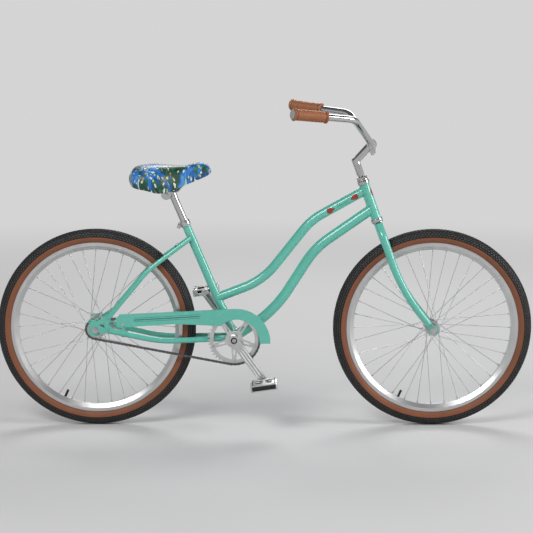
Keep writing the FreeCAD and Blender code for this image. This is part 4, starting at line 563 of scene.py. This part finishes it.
# Pedals. A bright cast cage turns on each axle, with two windows beside its barrel.
# A flat black plate across the windows at mid-height is painted shade that darkens them,
# a ribbed black insert closes the outer end, and small black studs stand proud of both faces for grip.
def rounded_outline(half_x, half_y, radius, steps=6):
    """A rectangle's corners rounded with short arcs, counterclockwise."""
    points = []
    for sx, sy, first in ((1, 1, 0), (-1, 1, 90), (-1, -1, 180), (1, -1, 270)):
        for n in range(steps + 1):
            a = math.radians(first + 90 * n / steps)
            points.append((sx * (half_x - radius) + radius * math.cos(a),
                           sy * (half_y - radius) + radius * math.sin(a)))
    return points


pedal_alloy = satin_alloy("pedal_alloy", Vector(joints["pedal_right_spin"]["pos_m"]))
dress(pedal_alloy, "pedal_body_right", "pedal_body_left")
dress(black_rubber, "pedal_treads_right", "pedal_treads_left")
PEDAL_TILT = math.radians(8)
PEDAL_LONG, PEDAL_WIDE, PEDAL_TALL = 0.088, 0.092, 0.024
WINDOW_REACH, WINDOW_WIDTH, INNER_WEB = 0.027, 0.046, 0.018
CAVITY, END_WALL, SIDE_WALL = 0.020, 0.003, 0.005
WEB_THICK, WEB_SUNK, WEB_LAP, FACE_SUNK = 0.0035, 0.001, 0.003, 0.0005
BAR_SOFT, WALL_SOFT, WEB_SOFT, STUD_SOFT = 0.0022, 0.0012, 0.001, 0.0003
BARREL = [(0, 0.0085), (0.001, 0.0095), (0.03, 0.0095), (0.055, 0.0085), (PEDAL_WIDE - 0.004, 0.0085)]
SHADE_PLATE_NEAR, SHADE_PLATE_FAR, SHADE_PLATE_HALF = 0.017, 0.020 + WINDOW_WIDTH, 0.004
RIBS, RIB_STEP, RIB_TALL = 5, 0.0148, 0.0018
STUDS, STUD_FIRST, STUD_STEP, STUD_INSET = 6, 0.012, 0.0136, 0.0075
for word, side in (("right", -1), ("left", 1)):
    body = "pedal_" + word
    tip = Vector(joints[body + "_spin"]["pos_m"])
    low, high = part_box("pedal_body_" + word)
    inner = min((abs(low.y), abs(high.y)))
    forward = Vector((math.cos(PEDAL_TILT), 0, math.sin(PEDAL_TILT)))
    upward = Vector((-math.sin(PEDAL_TILT), 0, math.cos(PEDAL_TILT)))

    def on_pedal(x, y, z):
        """A point of this pedal: forward, outward along the axle, upward."""
        return tip + forward * x + across * side * (inner + y) + upward * z

    half_long, half_tall = PEDAL_LONG / 2, PEDAL_TALL / 2
    face = half_tall - FACE_SUNK
    mouth = PEDAL_WIDE - CAVITY
    solids = []
    for end in (-1, 1):
        bar = [(end * x, y) for x, y in ((WINDOW_REACH, 0.003), (half_long - 0.006, 0),
                                         (half_long - 0.001, 0.004), (half_long, 0.010),
                                         (half_long, mouth), (WINDOW_REACH, mouth))]
        solids.append(slab(bar, -face, face, BAR_SOFT, on_pedal))
        wall = [(end * x, y) for x, y in ((half_long - SIDE_WALL, mouth - END_WALL),
                                          (half_long, mouth - END_WALL),
                                          (half_long, PEDAL_WIDE - END_WALL),
                                          (half_long - END_WALL, PEDAL_WIDE),
                                          (half_long - SIDE_WALL, PEDAL_WIDE))]
        solids.append(slab(wall, -face, face, WALL_SOFT, on_pedal))
    for near, far, half in ((0.0, INNER_WEB, WINDOW_REACH),
                            (INNER_WEB + WINDOW_WIDTH, PEDAL_WIDE - 0.001, half_long - 0.006)):
        half += WEB_LAP
        for level in (-1, 1):
            web = [(-half, near), (half, near), (half, far), (-half, far)]
            heights = sorted((level * (half_tall - WEB_SUNK - WEB_THICK), level * (half_tall - WEB_SUNK)))
            solids.append(slab(web, heights[0], heights[1], WEB_SOFT, on_pedal))
    solids.append(turned(BARREL, on_pedal(0, 0, 0), across * side))
    cage = build("pedal_cage_" + word, merged(solids), pedal_alloy, body)
    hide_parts("pedal_body_" + word)
    # The plate across the windows is painted shade: a dark sheet at mid-height that makes the open windows
    # read dark.
    window_shade_plate = [(-WINDOW_REACH, SHADE_PLATE_NEAR), (WINDOW_REACH, SHADE_PLATE_NEAR), (WINDOW_REACH, SHADE_PLATE_FAR),
            (-WINDOW_REACH, SHADE_PLATE_FAR)]
    insert = rounded_outline(half_long - 0.0052, half_tall - 0.0044, 0.003)
    blocks = [slab(insert, 0, CAVITY - 0.001, 0.001, lambda x, z, y: on_pedal(x, mouth - 0.001 + y, z)),
              slab(window_shade_plate, -SHADE_PLATE_HALF, SHADE_PLATE_HALF, 0.001, on_pedal)]
    for n in range(RIBS):
        middle = (n - (RIBS - 1) / 2) * RIB_STEP
        rib = [(x + middle, z) for x, z in rounded_outline(0.0050, half_tall - 0.0062, 0.0015)]
        blocks.append(slab(rib, 0, RIB_TALL, 0.0005,
                           lambda x, z, y: on_pedal(x, PEDAL_WIDE - 0.0015 + y, z)))
    for level in (-1, 1):
        for end in (-1, 1):
            for n in range(STUDS):
                stud = [(x + end * (half_long - STUD_INSET), y + STUD_FIRST + n * STUD_STEP)
                        for x, y in rounded_outline(0.0022, 0.0040, 0.0012)]
                heights = sorted((level * (half_tall - 0.0015), level * (half_tall - 0.0002)))
                blocks.append(slab(stud, heights[0], heights[1], STUD_SOFT, on_pedal))
    rubber = build("pedal_blocks_and_shade_plate_" + word, merged(blocks), black_rubber, body)
    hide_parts("pedal_treads_" + word)

# Grips. Ribbed brown rubber sleeves are pushed over the bar's ends, with a flange at each end.
# A grey plug closes the open end of each bar.
grip_rubber, tree, shader = new_finish("brown_grip_rubber")
shade = place(tree, cloudy, Scale=30.0)
tone = add(tree, "ShaderNodeMix", {"Factor": shade.outputs["Value"]}, data_type="RGBA")
tone.inputs["A"].default_value = (0.345, 0.122, 0.046, 1)
tone.inputs["B"].default_value = (0.300, 0.102, 0.038, 1)
rough = place(tree, cloudy, Scale=60.0, Low=0.42, High=0.58)
pores = place(tree, ripple, Scale=1500.0, Depth=0.0001)
tree.links.new(tone.outputs["Result"], shader.inputs["Base Color"])
tree.links.new(rough.outputs["Value"], shader.inputs["Roughness"])
tree.links.new(pores.outputs["Normal"], shader.inputs["Normal"])

dress(grip_rubber, "grips")
GRIP_LONG = 0.119
FLANGE = [(0.0, 0.0172), (0.0004, 0.0190), (0.0014, 0.0199), (0.0044, 0.0199), (0.0056, 0.0190),
          (0.0061, 0.0172)]
RIB_PITCH, RIB_FOOT, RIB_CREST, RIB_FIRST, RIB_LAST = 0.0029, 0.0174, 0.0178, 0.009, 0.0115
NECK, HAND_STOP = 0.0163, 0.0150
bar_clamp = Vector(joints["bar_roll"]["pos_m"])
sleeves = []
for side in (-1, 1):
    tip = bar_clamp + Vector((-0.260, 0.310 * side, 0.113))
    way = bar_clamp + Vector((-0.065, 0.205 * side, 0.091)) - tip
    profile = list(FLANGE)
    profile += [(0.0068, NECK), (0.0084, NECK)]
    reach = RIB_FIRST
    while reach + RIB_PITCH < GRIP_LONG - RIB_LAST:
        profile += [(reach, RIB_FOOT), (reach + RIB_PITCH * 0.2, RIB_CREST),
                    (reach + RIB_PITCH * 0.7, RIB_CREST), (reach + RIB_PITCH * 0.9, RIB_FOOT)]
        reach += RIB_PITCH
    profile += [(GRIP_LONG - 0.0112, FLANGE[0][1]), (GRIP_LONG - 0.0108, HAND_STOP),
                (GRIP_LONG - 0.0072, HAND_STOP)]
    profile += [(GRIP_LONG - FLANGE[-1][0] + along, radius) for along, radius in FLANGE]
    sleeves.append(turned(profile, tip, way))
grips = build("grip_sleeves", merged(sleeves), grip_rubber, "handlebar", sharp=50)
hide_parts("grips")

grey_plastic, tree, shader = new_finish("grey_plug_plastic")
tint = place(tree, cloudy, Scale=80.0, Low=0.24, High=0.32)
tree.links.new(tint.outputs["Value"], shader.inputs["Base Color"])
shader.inputs["Roughness"].default_value = 0.4
dress(grey_plastic, "grip_end_plugs")

# Saddle. A moulded black base carries a foam cushion under a stretched cover of printed vinyl.
# The cover is drawn over the lower edge, and its print is a loose scatter of leaves and petals.
dress(black_plastic, "saddle_base")

SADDLE_ROWS = [(0.119, 0.050, 0.818, 0.846), (0.127, 0.080, 0.809, 0.861), (0.143, 0.098, 0.803, 0.870),
               (0.175, 0.106, 0.797, 0.875), (0.215, 0.096, 0.787, 0.876), (0.255, 0.068, 0.792, 0.873),
               (0.298, 0.042, 0.809, 0.872), (0.338, 0.033, 0.825, 0.881), (0.362, 0.029, 0.835, 0.880),
               (0.376, 0.022, 0.842, 0.870), (0.382, 0.013, 0.848, 0.860)]
HOLLOW_ROWS = [(0.139, 0.0), (0.140, 0.053), (0.165, 0.081), (0.210, 0.075), (0.255, 0.045), (0.300, 0.023),
               (0.342, 0.013), (0.343, 0.0)]
HOLLOW_ROOF = 0.836
STATIONS, CROWN_POINTS, UNDER_POINTS = 96, 49, 25
CROWN_ROUND, SIDE_ROUND, EDGE_DRAW, EDGE_SWEEP, EDGE_SHARE = 0.8, 0.72, 0.10, 2.5, 0.87


def smoothed(rows, count):
    """Rows spread evenly along a smooth curve through the rows of a table."""
    rows = np.array(rows)
    slopes = np.gradient(rows, axis=0)
    spots = np.linspace(0, len(rows) - 1, count)
    first = np.minimum(spots.astype(int), len(rows) - 2)
    t = (spots - first)[:, None]
    return (rows[first] * (2 * t**3 - 3 * t**2 + 1) + slopes[first] * (t**3 - 2 * t**2 + t)
            + rows[first + 1] * (3 * t**2 - 2 * t**3) + slopes[first + 1] * (t**3 - t**2))


def saddle_ring(x, half, low, top):
    """One section of the cover: over the crown from edge to edge, then back under the hollow."""
    ring = []
    for a in np.linspace(0, math.pi, CROWN_POINTS):
        rise = math.sin(a) ** CROWN_ROUND
        draw = 1 - EDGE_DRAW * (1 - rise) ** EDGE_SWEEP
        reach = half * draw * abs(math.cos(a)) ** SIDE_ROUND
        ring.append((x, math.copysign(reach, math.cos(a)), low + (top - low) * rise))
    open_half = float(np.interp(x, *zip(*HOLLOW_ROWS)))
    roof = HOLLOW_ROOF if open_half > 0.005 else low + 0.003
    edge = half * EDGE_SHARE
    for share in np.linspace(-1, 1, UNDER_POINTS + 2)[1:-1]:
        y = share * edge
        inside = abs(y) < open_half
        ring.append((x, y, roof if inside else low + 0.001))
    return [Vector(point) + Vector((rear_axle.x, 0, 0)) for point in ring]


rows = smoothed(SADDLE_ROWS, STATIONS)
rings = [saddle_ring(*row) for row in rows]


def closing_rings(ring, step):
    """Rings that shrink to round off an end of the saddle."""
    middle = sum(ring, Vector()) / len(ring)
    return [[middle + (point - middle) * share + Vector((step * far, 0, 0)) for point in ring]
            for share, far in ((0.93, 0.45), (0.8, 0.75), (0.6, 0.93), (0.3, 1.0))]


rings = closing_rings(rings[0], -0.004)[::-1] + rings + closing_rings(rings[-1], 0.002)
vinyl, tree, shader = new_finish("printed_saddle_vinyl")
spot = add(tree, "ShaderNodeTexCoord")
drawn = add(tree, "ShaderNodeVectorMath", {0: spot.outputs["Object"], 1: (1.0, 1.0, 0.55)},
            operation="MULTIPLY")
bent = add(tree, "ShaderNodeTexNoise", {"Vector": drawn.outputs["Vector"], "Scale": 18.0, "Detail": 2.0})
pushed = add(tree, "ShaderNodeVectorMath", {0: bent.outputs["Color"], 1: (0.045, 0.045, 0.045)},
             operation="MULTIPLY")
lie = add(tree, "ShaderNodeVectorMath", {0: drawn.outputs["Vector"], 1: pushed.outputs["Vector"]},
          operation="ADD")
ground = add(tree, "ShaderNodeTexNoise", {"Vector": lie.outputs["Vector"], "Scale": 25.0, "Detail": 2.5})
fields = add(tree, "ShaderNodeValToRGB", {"Fac": ground.outputs["Fac"]})
FIELD_COLOURS = [(0.34, (0.001, 0.030, 0.014, 1)), (0.47, (0.004, 0.085, 0.045, 1)),
                 (0.50, (0.006, 0.060, 0.20, 1)), (0.56, (0.014, 0.150, 0.50, 1)),
                 (0.64, (0.020, 0.210, 0.62, 1)), (0.74, (0.150, 0.420, 0.62, 1))]
fields.color_ramp.elements[0].position, fields.color_ramp.elements[0].color = FIELD_COLOURS[0]
fields.color_ramp.elements[1].position, fields.color_ramp.elements[1].color = FIELD_COLOURS[-1]
for position, colour in FIELD_COLOURS[1:-1]:
    fields.color_ramp.elements.new(position).color = colour


def layered(below, mask, colour):
    """A colour laid over what lies below, where a mask is one."""
    return add(tree, "ShaderNodeMix", {"Factor": mask, "A": below, "B": colour},
               data_type="RGBA").outputs["Result"]


def flecks(scale, size, share):
    """A mask of scattered flecks, one in a share of the cells."""
    cells = add(tree, "ShaderNodeTexVoronoi", {"Vector": lie.outputs["Vector"], "Scale": scale})
    near = add(tree, "ShaderNodeMath", {0: cells.outputs["Distance"], 1: size}, operation="LESS_THAN")
    pick = add(tree, "ShaderNodeSeparateColor", {"Color": cells.outputs["Color"]})
    kept = add(tree, "ShaderNodeMath", {0: pick.outputs["Red"], 1: share}, operation="LESS_THAN")
    return add(tree, "ShaderNodeMath", {0: near.outputs["Value"], 1: kept.outputs["Value"]},
               operation="MULTIPLY").outputs["Value"]


upright = add(tree, "ShaderNodeVectorMath", {0: lie.outputs["Vector"], 1: (1.0, 1.0, 0.22)},
              operation="MULTIPLY")
strokes = add(tree, "ShaderNodeTexNoise", {"Vector": upright.outputs["Vector"], "Scale": 85.0,
                                           "Detail": 1.0})
stroke_mask = add(tree, "ShaderNodeMapRange", {"Value": strokes.outputs["Fac"], "From Min": 0.635,
                                               "From Max": 0.675})
LEAF_GREEN, STROKE_CREAM = (0.010, 0.150, 0.075, 1), (0.56, 0.60, 0.50, 1)
PETALS = [(88.0, 0.30, 0.36, (0.72, 0.76, 0.70, 1)), (64.0, 0.24, 0.28, (0.74, 0.44, 0.05, 1)),
          (105.0, 0.30, 0.20, (0.60, 0.62, 0.20, 1)), (70.0, 0.20, 0.22, (0.60, 0.15, 0.02, 1))]
print_colour = layered(fields.outputs["Color"], flecks(75.0, 0.40, 0.42), LEAF_GREEN)
print_colour = layered(print_colour, stroke_mask.outputs["Result"], STROKE_CREAM)
for scale, size, share, colour in PETALS:
    print_colour = layered(print_colour, flecks(scale, size, share), colour)
gloss = place(tree, cloudy, Scale=40.0, Low=0.34, High=0.46)
leather_grain = place(tree, ripple, Scale=900.0, Depth=0.00025)
tree.links.new(print_colour, shader.inputs["Base Color"])
tree.links.new(gloss.outputs["Value"], shader.inputs["Roughness"])
tree.links.new(leather_grain.outputs["Normal"], shader.inputs["Normal"])
shader.inputs["Coat Weight"].default_value = 0.15
shader.inputs["Coat Roughness"].default_value = 0.16
dress(vinyl, "saddle_cushion")
cover = build("saddle_cover", skinned(rings), vinyl, "saddle", sharp=60)
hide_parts("saddle_cushion")

# Studio. A pale paper floor fades into an even background, under three soft lamps.
# The room darkens overhead, and the camera stands beside the chain side.
PALE = (0.66, 0.66, 0.66, 1)
CEILING_TOP = (0.13, 0.13, 0.14, 1)
FLOOR_RADIUS, FLOOR_DROP = 40, 0.0005
mesh = bpy.data.meshes.new("studio_floor")
shell = bmesh.new()
bmesh.ops.create_circle(shell, cap_ends=True, radius=FLOOR_RADIUS, segments=96)
shell.to_mesh(mesh)
shell.free()
floor = bpy.data.objects.new("studio_floor", mesh)
bpy.context.collection.objects.link(floor)
floor.location.z = -FLOOR_DROP
paper, tree, shader = new_finish("pale_floor_paper")
shader.inputs["Base Color"].default_value = PALE
shader.inputs["Roughness"].default_value = 0.9
spot = add(tree, "ShaderNodeTexCoord")
away = add(tree, "ShaderNodeVectorMath", {0: spot.outputs["Object"]}, operation="LENGTH")
fade = add(tree, "ShaderNodeMapRange", {"Value": away.outputs["Value"], "From Min": 1.8, "From Max": 6.0},
           interpolation_type="SMOOTHSTEP")
glow = add(tree, "ShaderNodeEmission", {"Color": PALE, "Strength": 1.0})
blend = add(tree, "ShaderNodeMixShader", {0: fade.outputs["Result"], 1: shader.outputs["BSDF"],
                                          2: glow.outputs["Emission"]})
tree.links.new(blend.outputs["Shader"], tree.nodes["Material Output"].inputs["Surface"])
mesh.materials.append(paper)

world = bpy.data.worlds.new("studio_room")
bpy.context.scene.world = world
world.use_nodes = True
tree = world.node_tree
room = tree.nodes["Background"]
spot = add(tree, "ShaderNodeTexCoord")
height = add(tree, "ShaderNodeSeparateXYZ", {"Vector": spot.outputs["Generated"]})
ceiling = add(tree, "ShaderNodeValToRGB", {"Fac": height.outputs["Z"]})
ceiling.color_ramp.elements[0].position = 0.03
ceiling.color_ramp.elements[0].color = PALE
ceiling.color_ramp.elements[1].position = 0.45
ceiling.color_ramp.elements[1].color = CEILING_TOP
tree.links.new(ceiling.outputs["Color"], room.inputs["Color"])


def lamp(name, place_at, aim, size, power):
    """A rectangular soft lamp that faces a point."""
    light = bpy.data.lights.new(name, "AREA")
    light.shape = "RECTANGLE"
    light.size, light.size_y = size
    light.energy = power
    obj = bpy.data.objects.new(name, light)
    bpy.context.collection.objects.link(obj)
    obj.location = place_at
    obj.rotation_euler = (Vector(aim) - Vector(place_at)).to_track_quat("-Z", "Y").to_euler()


lamp("key_softbox", (-2.2, -3.6, 4.2), (0, 0, 0.5), (3.0, 1.6), 150)
lamp("fill_softbox", (4.2, -1.2, 2.3), (0, 0, 0.6), (1.6, 2.2), 110)
lamp("back_softbox", (0.5, 3.8, 3.6), (0, 0, 0.5), (3.4, 1.4), 110)

AZIMUTH, ELEVATION, DISTANCE = math.radians(0.363), math.radians(8.554), 5.3323
AIM = Vector((0.0068, 0, 0.5353))
FOCAL_PIXELS, FRAME_PIXELS, SENSOR = 1604.14, 533, 36.0
back = Vector((math.sin(AZIMUTH) * math.cos(ELEVATION), -math.cos(AZIMUTH) * math.cos(ELEVATION),
               math.sin(ELEVATION)))
camera = bpy.data.objects.new("photo_camera", bpy.data.cameras.new("photo_camera"))
bpy.context.collection.objects.link(camera)
camera.data.sensor_width = SENSOR
camera.data.lens = FOCAL_PIXELS / FRAME_PIXELS * SENSOR
camera.location = AIM + back * DISTANCE
camera.rotation_euler = (-back).to_track_quat("-Z", "Y").to_euler()
bpy.context.scene.camera = camera
bpy.context.scene.view_settings.view_transform = "Standard"
